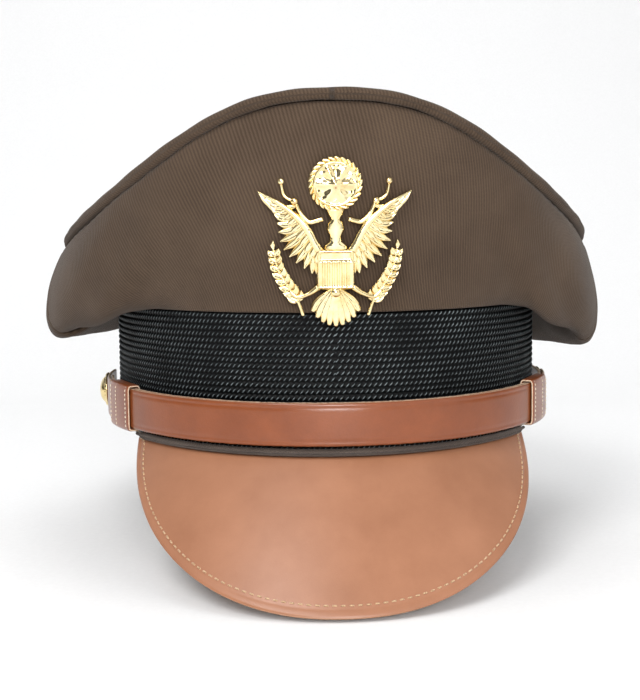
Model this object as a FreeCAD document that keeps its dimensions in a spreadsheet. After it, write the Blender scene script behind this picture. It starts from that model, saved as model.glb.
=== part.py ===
"""Peaked cap of a service uniform: a stiff oval band with a braid cover, a soft fabric crown that is held up
at the front and hangs over the band at the sides, a leather visor, a two-strap chin strap with sliding
keepers, and a badge on a screw post.

Millimetres. The head opening's centre, in the plane of the band's lower edge, is the origin.
+Z is up, the visor points along -Y, and +X is on the right of someone who faces the cap's front.
An oval's angle runs from the front (0 degrees) towards +X (90 degrees).
"""

import FreeCAD, Part
import math
import os

import Sketcher

V = FreeCAD.Vector
doc = FreeCAD.newDocument("peaked_cap")

# ---------------------------------------------------------------- driving dimensions

SIZES = [
    # band
    ("head_half_width", 83.5, "half of the head opening, side to side"),
    ("head_half_length", 100.5, "half of the head opening, front to back"),
    ("sweatband_wall", 1.0, "leather of the sweatband"),
    ("sweatband_height", 38.0, ""),
    ("nut_gap", 2.2, "room between sweatband and frame, where the button nuts lie"),
    ("nut_room", 0.45, "button nut's distance from the frame"),
    ("frame_wall", 1.6, "fibreboard band frame"),
    ("layer_gap", 0.1, "clearance between layers that lie on each other"),
    ("braid_wall", 2.2, "mohair braid round the frame"),
    ("band_height", 52.0, "front height of the band"),
    ("band_hem", 1.5, "frame that shows below the braid"),
    ("reed_height", 2.0, "piping that joins sweatband and frame"),
    # crown
    ("crown_cloth", 1.2, "crown fabric with its interlining"),
    ("crown_overhang", 0.15, "crown's foot, outside the braid's face"),
    ("rim_half_width", 110.5, "rim oval, half of its width"),
    ("rim_front", 116.0, "rim, forward of the centre"),
    ("rim_back", 128.0, "rim, behind the centre"),
    ("rim_front_height", 128.8, "height of the rim over the badge"),
    ("rim_back_height", 64.0, "height of the rim at sides and back"),
    ("top_centre_height", 105.0, "height of the top panel over the head"),
    ("peak_angle", 47.7, "oval angle where the rim is half way down"),
    ("lobe_angle", 55.0, "oval angle where the sides begin to hang"),
    ("lobe_out", 32.0, "how far the hanging cloth is led outwards"),
    ("lobe_spread", 3.0, "further out at -X, less at +X"),
    ("lobe_drop", 42.0, "how far it is led down"),
    ("lobe_skew", 5.0, "more drop at +X, less at -X"),
    ("seam_angle", 75.0, "oval angle of the crown's side seams"),
    ("welt_radius", 2.2, "cord in the rolled edge of the rim"),
    ("grommet_radius", 1.1, "spring wire that spreads the crown"),
    ("grommet_inset", 6.5, "wire's distance inside the rim"),
    ("grommet_drop", 6.5, "and below it"),
    ("ferrule_length", 16.0, "tube that closes the grommet wire"),
    ("ferrule_wall", 0.5, ""),
    ("ferrule_play", 0.2, "wire in the ferrule"),
    ("stiffener_wall", 1.5, "haircloth behind the front panel"),
    ("stiffener_angle", 38.0, "its oval angle each side"),
    ("stay_width", 16.0, "spring stay behind the front"),
    ("stay_wall", 0.8, ""),
    ("stay_gap", 1.0, "room between the stiffener and the flat stay"),
    ("stay_frame_gap", 0.75, "room between the curved frame and the flat stay"),
    ("stay_foot", 16.0, "height of the stay's lower end"),
    ("stay_top", 118.0, "height of the stay's upper end"),
    ("rivet_radius", 1.5, ""),
    ("rivet_head_radius", 2.6, ""),
    ("rivet_head_wall", 0.45, ""),
    ("rivet_low", 22.0, "height of the lower rivet"),
    ("rivet_high", 40.0, "height of the upper rivet"),
    # lining
    ("lining_wall", 0.6, ""),
    ("tip_half_width", 68.0, "flat top of the lining"),
    ("tip_half_length", 82.0, ""),
    ("tip_height", 82.0, "height of the tip's centre"),
    ("tip_tilt", 14.0, "degrees that the tip rises to the front"),
    ("shield_half_width", 44.0, "clear sweat shield under the tip"),
    ("shield_half_length", 56.0, ""),
    ("shield_wall", 0.4, ""),
    # visor
    ("visor_half_width", 77.5, "visor, seen from the front"),
    ("visor_drop", 47.5, "its depth below the band, seen from the front"),
    ("visor_fullness", 2.3, "2 makes its outline an ellipse, more makes it squarer"),
    ("visor_slope", 50.0, "degrees below level"),
    ("visor_standoff", 0.4, "visor's root outside the braid"),
    ("visor_leather", 1.3, "upper leather"),
    ("visor_board", 1.2, "core"),
    ("visor_facing", 1.0, "leather underneath"),
    ("core_inset", 4.0, "core's edge inside the leathers' edge"),
    ("cord_radius", 1.2, "cord in the seam of band and visor"),
    # chin strap
    ("strap_gap", 2.3, "strap's distance from the braid, where the keepers pass"),
    ("strap_wall", 1.4, ""),
    ("strap_width", 15.6, ""),
    ("strap_rise", 0.0, "degrees that the strap rises towards the front"),
    ("strap_play", 0.2, "between the two straps"),
    ("strap_tail", 9.0, "strap behind its button"),
    ("strap_end", 12.0, "free end of each strap, forward of the buttons"),
    ("keeper_wall", 1.0, ""),
    ("keeper_play", 0.45, "keeper's clearance round the straps"),
    ("keeper_length", 24.0, ""),
    ("keeper_angle", 62.0, "oval angle where the keepers rest"),
    ("keeper_reach", 36.0, "oval angle that they slide to"),
    ("button_height", 12.2, "height of the side buttons' axis"),
    ("button_radius", 7.5, ""),
    ("button_dome", 3.2, ""),
    ("button_plate", 1.2, ""),
    ("shank_radius", 2.0, ""),
    ("running_play", 0.05, "shank in its holes"),
    ("nut_radius", 5.0, ""),
    ("nut_wall", 1.3, ""),
    # badge
    ("badge_foot", 47.5, "height of the badge's lowest point"),
    ("badge_height", 60.3, ""),
    ("badge_half_width", 27.0, ""),
    ("badge_plate", 1.4, "struck sheet"),
    ("badge_relief", 1.8, "raised shield and boss, above the sheet"),
    ("badge_curve", 92.0, "radius the badge is curved to"),
    ("badge_standoff", 1.6, "between the badge's back and the cloth"),
    ("post_radius", 1.4, ""),
    ("post_height", 80.0, ""),
    ("badge_nut_radius", 6.5, ""),
    ("badge_nut_wall", 2.2, ""),
    ("badge_nut_flutes", 24, "knurls round the nut"),
]

sheet = doc.addObject("Spreadsheet::Sheet", "sizes")
for row, (alias, value, note) in enumerate(SIZES, start=1):
    sheet.set(f"A{row}", alias)
    sheet.set(f"B{row}", str(value))
    sheet.setAlias(f"B{row}", alias)
    sheet.set(f"C{row}", note)
doc.recompute()
S = {alias: float(sheet.get(alias)) for alias, _, _ in SIZES}

# ovals of the band's layers, as expressions on top of the head opening
SWEATBAND = "sizes.sweatband_wall"
FRAME_IN = SWEATBAND + " + sizes.nut_gap"
FRAME_OUT = FRAME_IN + " + sizes.frame_wall"
BRAID_IN = FRAME_OUT + " + sizes.layer_gap"
BRAID_OUT = BRAID_IN + " + sizes.braid_wall"
STRAP_IN = BRAID_OUT + " + sizes.strap_gap"
STRAP_MID = STRAP_IN + " + sizes.strap_wall"
STRAP_OUT = STRAP_MID + " + sizes.strap_play + sizes.strap_wall"


def layer_sum(expression):
    """Adds up the sheet's sizes that a layer expression names."""
    return sum(S[term.strip().split(".")[1]] for term in expression.split("+"))


BRAID_FACE = layer_sum(BRAID_OUT)
STRAP_FACE = layer_sum(STRAP_OUT)

# ---------------------------------------------------------------- small helpers


def bind(obj, **expressions):
    """Ties properties to the sheet. A double underscore in a name stands for a dot."""
    for name, expression in expressions.items():
        obj.setExpression(name.replace("__", "."), expression)
    return obj


def oval(name, grow, z="0", half_width="sizes.head_half_width", half_length="sizes.head_half_length"):
    """Ellipse in a level plane, its long axis along Y, larger than the head opening by grow."""
    ellipse = doc.addObject("Part::Ellipse", name)
    ellipse.Placement = FreeCAD.Placement(V(0, 0, 0), FreeCAD.Rotation(V(0, 0, 1), 90))
    return bind(
        ellipse,
        MajorRadius=f"{half_length} + {grow}",
        MinorRadius=f"{half_width} + {grow}",
        Placement__Base__z=z,
    )


def oval_prism(name, grow, z, height):
    """Upright elliptic cylinder."""
    prism = doc.addObject("Part::Extrusion", name)
    prism.Base = oval(name + "_oval", grow, z)
    prism.DirMode = "Custom"
    prism.Dir = V(0, 0, 1)
    prism.Solid = True
    return bind(prism, LengthFwd=height)


def cut(label, base, tool):
    made = doc.addObject("Part::Cut", label)
    made.Base, made.Tool = base, tool
    return made


def common(label, base, tool):
    made = doc.addObject("Part::Common", label)
    made.Base, made.Tool = base, tool
    return made


def fuse(label, *shapes):
    made = doc.addObject("Part::MultiFuse", label)
    made.Shapes = list(shapes)
    made.Refine = False
    return made


def oval_ring(label, inner, outer, z, height):
    """Upright elliptic ring between two layer ovals."""
    ring_outer = oval_prism(label + "_out", outer, z, height)
    ring_inner = oval_prism(label + "_in", inner, z, height)
    return cut(label, ring_outer, ring_inner)


def x_rod(name, radius, start, length, z, y="0"):
    """Cylinder along +X that begins at x = start."""
    rod = doc.addObject("Part::Cylinder", name)
    rod.Placement = FreeCAD.Placement(V(0, 0, 0), FreeCAD.Rotation(V(0, 1, 0), 90))
    return bind(
        rod, Radius=radius, Height=length, Placement__Base__x=start, Placement__Base__y=y, Placement__Base__z=z
    )


def y_rod(name, radius, start, length, z, x="0"):
    """Cylinder along +Y that begins at y = start."""
    rod = doc.addObject("Part::Cylinder", name)
    rod.Placement = FreeCAD.Placement(V(0, 0, 0), FreeCAD.Rotation(V(1, 0, 0), -90))
    return bind(
        rod, Radius=radius, Height=length, Placement__Base__y=start, Placement__Base__z=z, Placement__Base__x=x
    )


def spread(start, end, count):
    return [start + (end - start) * i / (count - 1) for i in range(count)]


def feature(label, shape):
    made = doc.addObject("Part::Feature", label)
    made.Shape = shape
    return made


def spline_face(rows):
    surface = Part.BSplineSurface()
    surface.approximate(Points=rows, DegMin=3, DegMax=5, Continuity=2, Tolerance=0.05)
    return surface


def blended_surface(columns, angles):
    """Surface whose section at each angle is a cubic with the four control points of that column."""
    lines = []
    for level in range(4):
        line = Part.BSplineCurve()
        line.interpolate(Points=[column[level] for column in columns], Parameters=[math.radians(a) for a in angles])
        lines.append(line)
    surface = Part.BSplineSurface()
    surface.buildFromPolesMultsKnots(
        [line.getPoles() for line in lines],
        [4, 4],
        lines[0].getMultiplicities(),
        [0.0, 1.0],
        lines[0].getKnots(),
        False,
        False,
        3,
        lines[0].Degree,
    )
    return surface


def thick_patch(outer, inner):
    """Closed solid between two surfaces that have the same layout."""
    bounds = []
    for s in (outer, inner):
        u0, u1, v0, v1 = s.bounds()
        bounds.append([s.uIso(u0), s.uIso(u1), s.vIso(v0), s.vIso(v1)])
    sides = [Part.makeRuledSurface(a.toShape(), b.toShape()) for a, b in zip(*bounds)]
    sewn = Part.makeShell([outer.toShape(), inner.toShape()] + sides)
    sewn.sewShape()
    solid = Part.makeSolid(sewn)
    if solid.Volume < 0:
        solid.reverse()
    return solid


def tube(line, radius, start, end, sections=8):
    """Round rod along a stretch of a curve."""
    rings = []
    for at in spread(start, end, sections):
        rings.append(Part.Wire([Part.makeCircle(radius, line.value(at), line.tangent(at)[0])]))
    return Part.makeLoft(rings, True)


def nearly_closed_tube(points, radius, gap):
    """Round rod along a closed smooth line that starts and ends at the first point, gap apart."""
    line = Part.BSplineCurve()
    line.interpolate(Points=points, PeriodicFlag=True)
    start, end = line.FirstParameter, line.LastParameter
    trim = 0.5 * gap * (end - start) / line.length()
    return tube(line, radius, start + trim, end - trim, 2 * len(points))


# ---------------------------------------------------------------- the band

band_frame = oval_ring("frame_blank", FRAME_IN, FRAME_OUT, "0", "sizes.band_height")
braid = oval_ring("braid_blank", BRAID_IN, BRAID_OUT, "sizes.band_hem", "sizes.band_height - sizes.band_hem")
shank_room = x_rod(
    "shank_room",
    "sizes.shank_radius + sizes.running_play",
    "-2 * sizes.head_half_width",
    "4 * sizes.head_half_width",
    "sizes.button_height",
)
rivet_rooms = []
for place in ("low", "high"):
    rivet_rooms.append(
        y_rod(
            f"rivet_room_{place}",
            "sizes.rivet_radius",
            "-2 * sizes.head_half_length",
            "1.5 * sizes.head_half_length",
            f"sizes.rivet_{place}",
        )
    )
cut("band_frame", band_frame, fuse("frame_holes", shank_room, *rivet_rooms))
cut("mohair_band", braid, shank_room)
oval_ring("sweatband", "0", SWEATBAND, "0.6", "sizes.sweatband_height")
reed_in, reed_out = SWEATBAND + " + sizes.layer_gap", FRAME_IN + " - sizes.layer_gap"
oval_ring("sweatband_reed", reed_in, reed_out, "0", "sizes.reed_height")

# ---------------------------------------------------------------- the crown's form

CROWN_FOOT = S["band_height"] + 0.2
FOOT_WIDTH = S["head_half_width"] + BRAID_FACE + S["crown_overhang"]
FOOT_LENGTH = S["head_half_length"] + BRAID_FACE + S["crown_overhang"]
PEAK_POWER = 2.55
LOBE_POWER = 6
SEAM_ROOM = 0.15


def share_of_front(angle, half_angle, power):
    """1 at the front, 0.5 at half_angle, and near 0 at the back."""
    away = abs((angle + 180) % 360 - 180)
    return 1 / (1 + (away / half_angle) ** power)


def rim_point(angle, inset=0.0):
    """Point of the crown's rim, moved inwards by inset."""
    a = math.radians(angle)
    reach = S["rim_front"] if math.cos(a) > 0 else S["rim_back"]
    height = S["rim_back_height"] + (S["rim_front_height"] - S["rim_back_height"]) * share_of_front(
        angle, S["peak_angle"], PEAK_POWER
    )
    return V((S["rim_half_width"] - inset) * math.sin(a), -(reach - inset) * math.cos(a), height)


def side_controls(angle):
    """Four control points of the crown's side, from the band up to the rim."""
    a = math.radians(angle)
    out = V(math.sin(a), -math.cos(a), 0)
    hang = 1 - share_of_front(angle, S["lobe_angle"], LOBE_POWER)
    drop = S["lobe_drop"] + S["lobe_skew"] * math.sin(a)
    foot = V(FOOT_WIDTH * math.sin(a), -FOOT_LENGTH * math.cos(a), CROWN_FOOT)
    rim = rim_point(angle)
    wide = S["lobe_out"] - S["lobe_spread"] * math.sin(a)
    upright = V(0, 0, (rim.z - foot.z) / 3)
    first = foot + (out * wide - V(0, 0, drop)) * hang + (upright + out * 2.0) * (1 - hang)
    second = rim + (out * (0.6 * wide) - V(0, 0, 0.9 * drop)) * hang - (upright - out) * (1 - hang)
    return [foot, first, second, rim]


def blossom(controls, *shares):
    """Control point of the stretch of a cubic that the three shares name."""
    points = controls
    for t in shares:
        points = [a * (1 - t) + b * t for a, b in zip(points, points[1:])]
    return points[0]


def side_point(angle, share):
    """Point of the crown's side, from the band (share 0) up to the rim (share 1)."""
    return blossom(side_controls(angle), share, share, share)


def side_column(angle, low, high, depth, step=0.5):
    """Control points at an angle of the layer that lies depth below the side's face."""

    def stretch(at):
        controls = side_controls(at)
        return [blossom(controls, *([low] * (3 - i) + [high] * i)) for i in range(4)]

    points = stretch(angle)
    along = [b - a for a, b in zip(stretch(angle - step), stretch(angle + step))]
    legs = [(along[i] + along[i + 1]).cross(points[i + 1] - points[i]).normalize() for i in range(3)]
    shifts = [legs[0]]
    shifts += [(a + b) * (1 / (1 + a.dot(b))) for a, b in zip(legs, legs[1:])]
    shifts.append(legs[2])
    return [point - shift * depth for point, shift in zip(points, shifts)]


def side_surface(angles, low, high, depth):
    """Surface depth below the crown's side, from share low to share high."""
    return blended_surface([side_column(angle, low, high, depth) for angle in angles], angles)


def side_patch(angles, low, high, depth, wall):
    """Solid layer that follows the crown's side, depth below its face."""
    return thick_patch(side_surface(angles, low, high, depth), side_surface(angles, low, high, depth + wall))


def top_height(x, y):
    """Height of the top panel's face over a point of the plan."""
    reach = S["rim_front"] if y < 0 else S["rim_back"]
    radius = math.hypot(x / S["rim_half_width"], y / reach)
    angle = math.degrees(math.atan2(x / S["rim_half_width"], -y / reach))
    rim = rim_point(angle).z
    return S["top_centre_height"] + (rim - S["top_centre_height"]) * radius**2


# ---------------------------------------------------------------- crown fabric

SIDE_RUN = 76.0
WELT_SHARE = 1.65
SIDE_TOP = 1 - WELT_SHARE * S["welt_radius"] / SIDE_RUN
seam = S["seam_angle"]
seam_step = math.degrees(SEAM_ROOM / S["rim_half_width"])
post_room = y_rod(
    "post_room",
    "sizes.post_radius + sizes.running_play",
    "-2 * sizes.head_half_length",
    "1.5 * sizes.head_half_length",
    "sizes.post_height",
)
cloth = S["crown_cloth"]
front_blank = feature("front_blank", side_patch(spread(-seam, seam, 25), 0, SIDE_TOP, 0, cloth))
cut("crown_front_panel", front_blank, post_room)
back_right = spread(seam + seam_step, 180 - seam_step, 17)
feature("crown_back_right_panel", side_patch(back_right, 0, SIDE_TOP, 0, cloth))
back_left = spread(180 + seam_step, 360 - seam - seam_step, 17)
feature("crown_back_left_panel", side_patch(back_left, 0, SIDE_TOP, 0, cloth))

TOP_INSET = S["welt_radius"] + 0.4
TOP_CELLS = 19
half_w, front, back = S["rim_half_width"] + 3, S["rim_front"] + 3, S["rim_back"] + 3
top_rows = []
for x in spread(-half_w, half_w, TOP_CELLS):
    top_rows.append([V(x, y, top_height(x, y)) for y in spread(-front, back, TOP_CELLS)])
under_rows = [[p - V(0, 0, cloth) for p in row] for row in top_rows]
rim_line = Part.BSplineCurve()
rim_line.interpolate(
    Points=[V(p.x, p.y, 0) for p in (rim_point(a, TOP_INSET) for a in range(0, 360, 15))], PeriodicFlag=True
)
rim_prism = Part.Face(Part.Wire([rim_line.toShape()])).extrude(V(0, 0, 200))
feature("crown_top", thick_patch(spline_face(top_rows), spline_face(under_rows)).common(rim_prism))

WELT_GAP = 0.4
back_round = range(180, 540, 12)
feature("crown_welt", nearly_closed_tube([rim_point(a) for a in back_round], S["welt_radius"], WELT_GAP))
wire_drop = V(0, 0, S["grommet_drop"])
wire_points = [rim_point(a, S["grommet_inset"]) - wire_drop for a in back_round]
feature("grommet_wire", nearly_closed_tube(wire_points, S["grommet_radius"], WELT_GAP))

# ferrule: a tube over the wire's joint at the back, bent to the wire's own curve there
ferrule_at = rim_point(180, S["grommet_inset"]) - wire_drop
bend = (S["rim_half_width"] - S["grommet_inset"]) ** 2 / (S["rim_back"] - S["grommet_inset"])
ferrule_turn = math.degrees(S["ferrule_length"] / bend)
ferrule_bore = S["grommet_radius"] + S["ferrule_play"]


def ferrule_rod(radius):
    rod = Part.makeTorus(bend, radius, V(0, 0, 0), V(0, 0, 1), 0, 360, ferrule_turn)
    rod.rotate(V(0, 0, 0), V(0, 0, 1), 90 - ferrule_turn / 2)
    rod.translate(ferrule_at - V(0, bend, 0))
    return rod


feature("grommet_ferrule", ferrule_rod(ferrule_bore + S["ferrule_wall"]).cut(ferrule_rod(ferrule_bore)))

# ---------------------------------------------------------------- front stiffener and stay

reach = S["stiffener_angle"]
stiffener_blank = feature(
    "stiffener_blank",
    side_patch(spread(-reach, reach, 13), 0.04, 0.92, cloth + S["layer_gap"], S["stiffener_wall"]),
)
cut("front_stiffener", stiffener_blank, post_room)

STAY_DEPTH = cloth + S["layer_gap"] + S["stiffener_wall"] + S["stay_gap"]
frame_face = S["head_half_length"] + layer_sum(FRAME_IN)


def stay_line():
    """The stay's front face in the middle plane: up along the frame, then behind the leaning front."""
    points = [V(0, -(frame_face - S["stay_frame_gap"]), S["stay_foot"])]
    points.append(V(0, -(frame_face - S["stay_frame_gap"]), S["band_height"] + 0.5))
    lean_end = (S["stay_top"] - CROWN_FOOT) / (S["rim_front_height"] - CROWN_FOOT)
    points += [side_point(0, t) + V(0, STAY_DEPTH, 0) for t in spread(0.12, lean_end, 5)]
    return points


stay_front = stay_line()
stay_back = [p + V(0, S["stay_wall"], 0) for p in stay_front]
stay_profile = Part.Face(Part.makePolygon(stay_front + stay_back[::-1] + stay_front[:1]))
stay_profile.translate(V(-0.5 * S["stay_width"], 0, 0))
stay_blank = feature("stay_blank", stay_profile.extrude(V(S["stay_width"], 0, 0)))
cut("front_stay", stay_blank, fuse("stay_holes", post_room, *rivet_rooms))

rivets = []
for place in ("low", "high"):
    height = f"sizes.rivet_{place}"
    shank = y_rod(
        f"rivet_shank_{place}",
        "sizes.rivet_radius",
        f"-(sizes.head_half_length + {FRAME_OUT}) + sizes.layer_gap",
        "sizes.frame_wall + sizes.stay_frame_gap + sizes.stay_wall - sizes.layer_gap",
        height,
    )
    head = y_rod(
        f"rivet_head_{place}",
        "sizes.rivet_head_radius",
        f"-(sizes.head_half_length + {FRAME_IN}) + sizes.stay_frame_gap + sizes.stay_wall",
        "sizes.rivet_head_wall",
        height,
    )
    rivets.append(fuse(f"rivet_{place}", shank, head))
rivet_group = doc.addObject("Part::Compound", "stay_rivets")
rivet_group.Links = rivets

# ---------------------------------------------------------------- lining


def lining_body(name, thin):
    """Solid under the lining's side: from a level oval above the sweatband to the tilted oval of the tip."""
    low = oval(
        name + "_low", f"{SWEATBAND} - sizes.layer_gap - {thin}", "sizes.sweatband_height + 0.8"
    )
    high = doc.addObject("Part::Ellipse", name + "_high")
    tilt = FreeCAD.Rotation(V(1, 0, 0), -S["tip_tilt"]).multiply(FreeCAD.Rotation(V(0, 0, 1), 90))
    high.Placement = FreeCAD.Placement(V(0, 0, 0), tilt)
    bind(
        high,
        MajorRadius=f"sizes.tip_half_length - {thin}",
        MinorRadius=f"sizes.tip_half_width - {thin}",
        Placement__Base__z="sizes.tip_height",
    )
    loft = doc.addObject("Part::Loft", name)
    loft.Sections = [low, high]
    loft.Solid, loft.Ruled = True, True
    return loft


cut("lining_side", lining_body("lining_outer", "0"), lining_body("lining_inner", "sizes.lining_wall"))


def tilted_disc(label, half_width, half_length, lift, wall):
    """Flat oval disc parallel to the lining's tip, lift above its plane."""
    tilt = FreeCAD.Rotation(V(1, 0, 0), -S["tip_tilt"])
    normal = tilt.multVec(V(0, 0, 1))
    edge = doc.addObject("Part::Ellipse", label + "_edge")
    edge.Placement = FreeCAD.Placement(V(0, 0, 0), tilt.multiply(FreeCAD.Rotation(V(0, 0, 1), 90)))
    bind(
        edge,
        MajorRadius=half_length,
        MinorRadius=half_width,
        Placement__Base__y=f"({lift}) * sin(sizes.tip_tilt * 1 deg)",
        Placement__Base__z=f"sizes.tip_height + ({lift}) * cos(sizes.tip_tilt * 1 deg)",
    )
    disc = doc.addObject("Part::Extrusion", label)
    disc.Base = edge
    disc.DirMode = "Custom"
    disc.Dir = normal
    disc.Solid = True
    return bind(disc, LengthFwd=wall)


tilted_disc("lining_tip", "sizes.tip_half_width", "sizes.tip_half_length", "0.1", "sizes.lining_wall")
tilted_disc(
    "sweat_shield", "sizes.shield_half_width", "sizes.shield_half_length", "-0.2 - sizes.shield_wall", "sizes.shield_wall"
)

# ---------------------------------------------------------------- visor

VISOR_TOP = "-0.1"


def visor_cone(name, depth):
    """Solid inside the visor's cone, whose face is depth below the visor's upper face."""
    rise = "sizes.visor_drop + 10"
    spread_low = f"({rise}) / tan(sizes.visor_slope * 1 deg)"
    inset = f"({depth}) / sin(sizes.visor_slope * 1 deg)"
    root = f"{BRAID_OUT} + sizes.visor_standoff - {inset}"
    loft = doc.addObject("Part::Loft", name)
    loft.Sections = [oval(name + "_root", root, VISOR_TOP), oval(name + "_hem", f"{root} + {spread_low}", f"-({rise})")]
    loft.Solid, loft.Ruled = True, True
    return loft


def visor_outline(name, inset):
    """Prism along -Y with the visor's outline as seen from the front."""
    power = 2 / S["visor_fullness"]
    wide, deep = S["visor_half_width"] - inset, S["visor_drop"] - inset
    edge = []
    for turn in spread(0, math.pi, 41):
        across = math.copysign(abs(math.cos(turn)) ** power, math.cos(turn))
        edge.append(V(wide * across, 0, -deep * math.sin(turn) ** power))
    line = Part.BSplineCurve()
    line.approximate(Points=edge, DegMin=3, DegMax=3, Continuity="C2", Tolerance=0.02)
    top_left, top_right = edge[-1] + V(0, 0, 20), edge[0] + V(0, 0, 20)
    rim = [line.toShape(), Part.makeLine(edge[-1], top_left)]
    rim += [Part.makeLine(top_left, top_right), Part.makeLine(top_right, edge[0])]
    return feature(name, Part.Face(Part.Wire(rim)).extrude(V(0, -2 * S["head_half_length"], 0)))


def visor_layer(label, top, bottom, inset):
    shell = cut(label + "_shell", visor_cone(label + "_over", top), visor_cone(label + "_under", bottom))
    return common(label, shell, visor_outline(label + "_outline", inset))


visor_layer("visor_top", "0", "sizes.visor_leather", 0)
visor_layer(
    "visor_core",
    "sizes.visor_leather + 0.05",
    "sizes.visor_leather + sizes.visor_board",
    S["core_inset"],
)
visor_layer(
    "visor_lining",
    "sizes.visor_leather + sizes.visor_board + 0.05",
    "sizes.visor_leather + sizes.visor_board + sizes.visor_facing",
    0.3,
)

# cord in the seam, just above the visor and just outside the braid
cord_grow = f"{BRAID_OUT} + sizes.cord_radius + 0.1"
cord_half_width = S["head_half_width"] + BRAID_FACE + S["cord_radius"] + 0.1
cord_end = math.degrees(math.asin(S["visor_half_width"] / cord_half_width))
cord_line = oval("cord_line", cord_grow, "sizes.cord_radius + 0.1")
cord_line.Angle1, cord_line.Angle2 = 180 - cord_end, 180 + cord_end
doc.recompute()
start_edge = cord_line.Shape.Edges[0]
start = start_edge.valueAt(start_edge.FirstParameter)
heading = start_edge.tangentAt(start_edge.FirstParameter)
cord_section = doc.addObject("Part::Circle", "cord_section")
cord_section.Placement = FreeCAD.Placement(start, FreeCAD.Rotation(V(0, 0, 1), heading))
bind(cord_section, Radius="sizes.cord_radius")
visor_cord = doc.addObject("Part::Sweep", "visor_cord")
visor_cord.Sections = [cord_section]
visor_cord.Spine = (cord_line, ["Edge1"])
visor_cord.Solid, visor_cord.Frenet = True, False

# ---------------------------------------------------------------- chin strap

STRAP_SPAN = 300.0
KEEPER_ROUNDING = 0.45


def strap_slab(name):
    """Slab as thick as the strap is wide, which rises to the front about the buttons' axis."""
    slab = doc.addObject("Part::Box", name)
    turn = FreeCAD.Rotation(V(1, 0, 0), -S["strap_rise"])
    bottom = turn.multVec(V(-0.5 * STRAP_SPAN, -0.5 * STRAP_SPAN, -0.5 * S["strap_width"]))
    slab.Placement = FreeCAD.Placement(bottom + V(0, 0, S["button_height"]), turn)
    slab.Length = STRAP_SPAN
    return bind(slab, Width=f"{0.5 * STRAP_SPAN} + sizes.strap_tail", Height="sizes.strap_width")


def strap(label, inner, outer, free_side):
    """One strap: buttoned on one side of the cap, and ending in the keeper of the side free_side (-1 or 1)."""
    blank = oval_ring(label + "_blank", inner, outer, "-20", "60")
    whole = common(label + "_whole", blank, strap_slab(label + "_slab"))
    trim = doc.addObject("Part::Box", label + "_trim")
    trim.Length, trim.Width, trim.Height = 150, 100, 100
    trim.Placement.Base = V(0 if free_side > 0 else -150, 0, -50)
    bind(trim, Placement__Base__y="-sizes.strap_end")
    hole = x_rod(
        label + "_hole",
        "sizes.shank_radius + 6 * sizes.running_play",
        "0" if free_side < 0 else "-2 * sizes.head_half_width",
        "2 * sizes.head_half_width",
        "sizes.button_height",
    )
    return cut(label, whole, fuse(label + "_cuts", trim, hole))


strap("chin_strap_inner", STRAP_IN, STRAP_MID, -1)
strap("chin_strap_outer", STRAP_MID + " + sizes.strap_play", STRAP_OUT, 1)


def strap_middle(angle):
    """Point midway through the two straps, in the plane that rises to the front."""
    a = math.radians(angle)
    grow = 0.5 * (layer_sum(STRAP_IN) + STRAP_FACE)
    return V((S["head_half_width"] + grow) * math.sin(a), -(S["head_half_length"] + grow) * math.cos(a), 0)


def keeper_circle():
    """Centre and radius, in plan, of the circle that the keepers follow, which fits all that they cover."""
    half_length = math.degrees(0.5 * S["keeper_length"] / S["head_half_length"])
    back, front = S["keeper_angle"] + half_length, S["keeper_reach"] - half_length
    circle = Part.Circle(strap_middle(back), strap_middle(0.5 * (back + front)), strap_middle(front))
    return circle.Center, circle.Radius


keeper_centre, keeper_radius = keeper_circle()


def keeper(label, side):
    """Loop of leather round both straps, bent to the circle that it slides along."""
    stack = 2 * S["strap_wall"] + S["strap_play"]
    room_thick = stack + 2 * S["keeper_play"]
    room_tall = S["strap_width"] + 2 * S["keeper_play"]
    rest = strap_middle(S["keeper_angle"])
    heading = math.degrees(math.atan2(rest.y - keeper_centre.y, rest.x - keeper_centre.x))
    sweep = math.degrees(S["keeper_length"] / keeper_radius)

    def ring(thick, tall):
        outer = Part.makeCylinder(keeper_radius + thick / 2, tall, V(0, 0, -tall / 2), V(0, 0, 1), sweep)
        inner = Part.makeCylinder(keeper_radius - thick / 2, tall, V(0, 0, -tall / 2), V(0, 0, 1), sweep)
        return outer.cut(inner)

    wall = 2 * S["keeper_wall"]
    loop = ring(room_thick + wall, room_tall + wall).cut(ring(room_thick, room_tall))
    outer_edge = S["keeper_length"] * (1 + 0.5 * (room_thick + wall) / keeper_radius)
    edges = [edge for edge in loop.Edges if abs(edge.Length - outer_edge) < 0.05]
    loop = loop.makeFillet(KEEPER_ROUNDING * S["keeper_wall"], edges)
    loop.rotate(V(0, 0, 0), V(0, 0, 1), heading - sweep / 2)
    loop.translate(V(keeper_centre.x, keeper_centre.y, 0))
    if side < 0:
        loop = loop.mirror(V(0, 0, 0), V(1, 0, 0))
    loop.rotate(V(0, 0, 0), V(1, 0, 0), -S["strap_rise"])
    loop.translate(V(0, 0, S["button_height"]))
    return feature(label, loop)


keeper("keeper_right", 1)
keeper("keeper_left", -1)


# ---------------------------------------------------------------- side buttons


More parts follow.
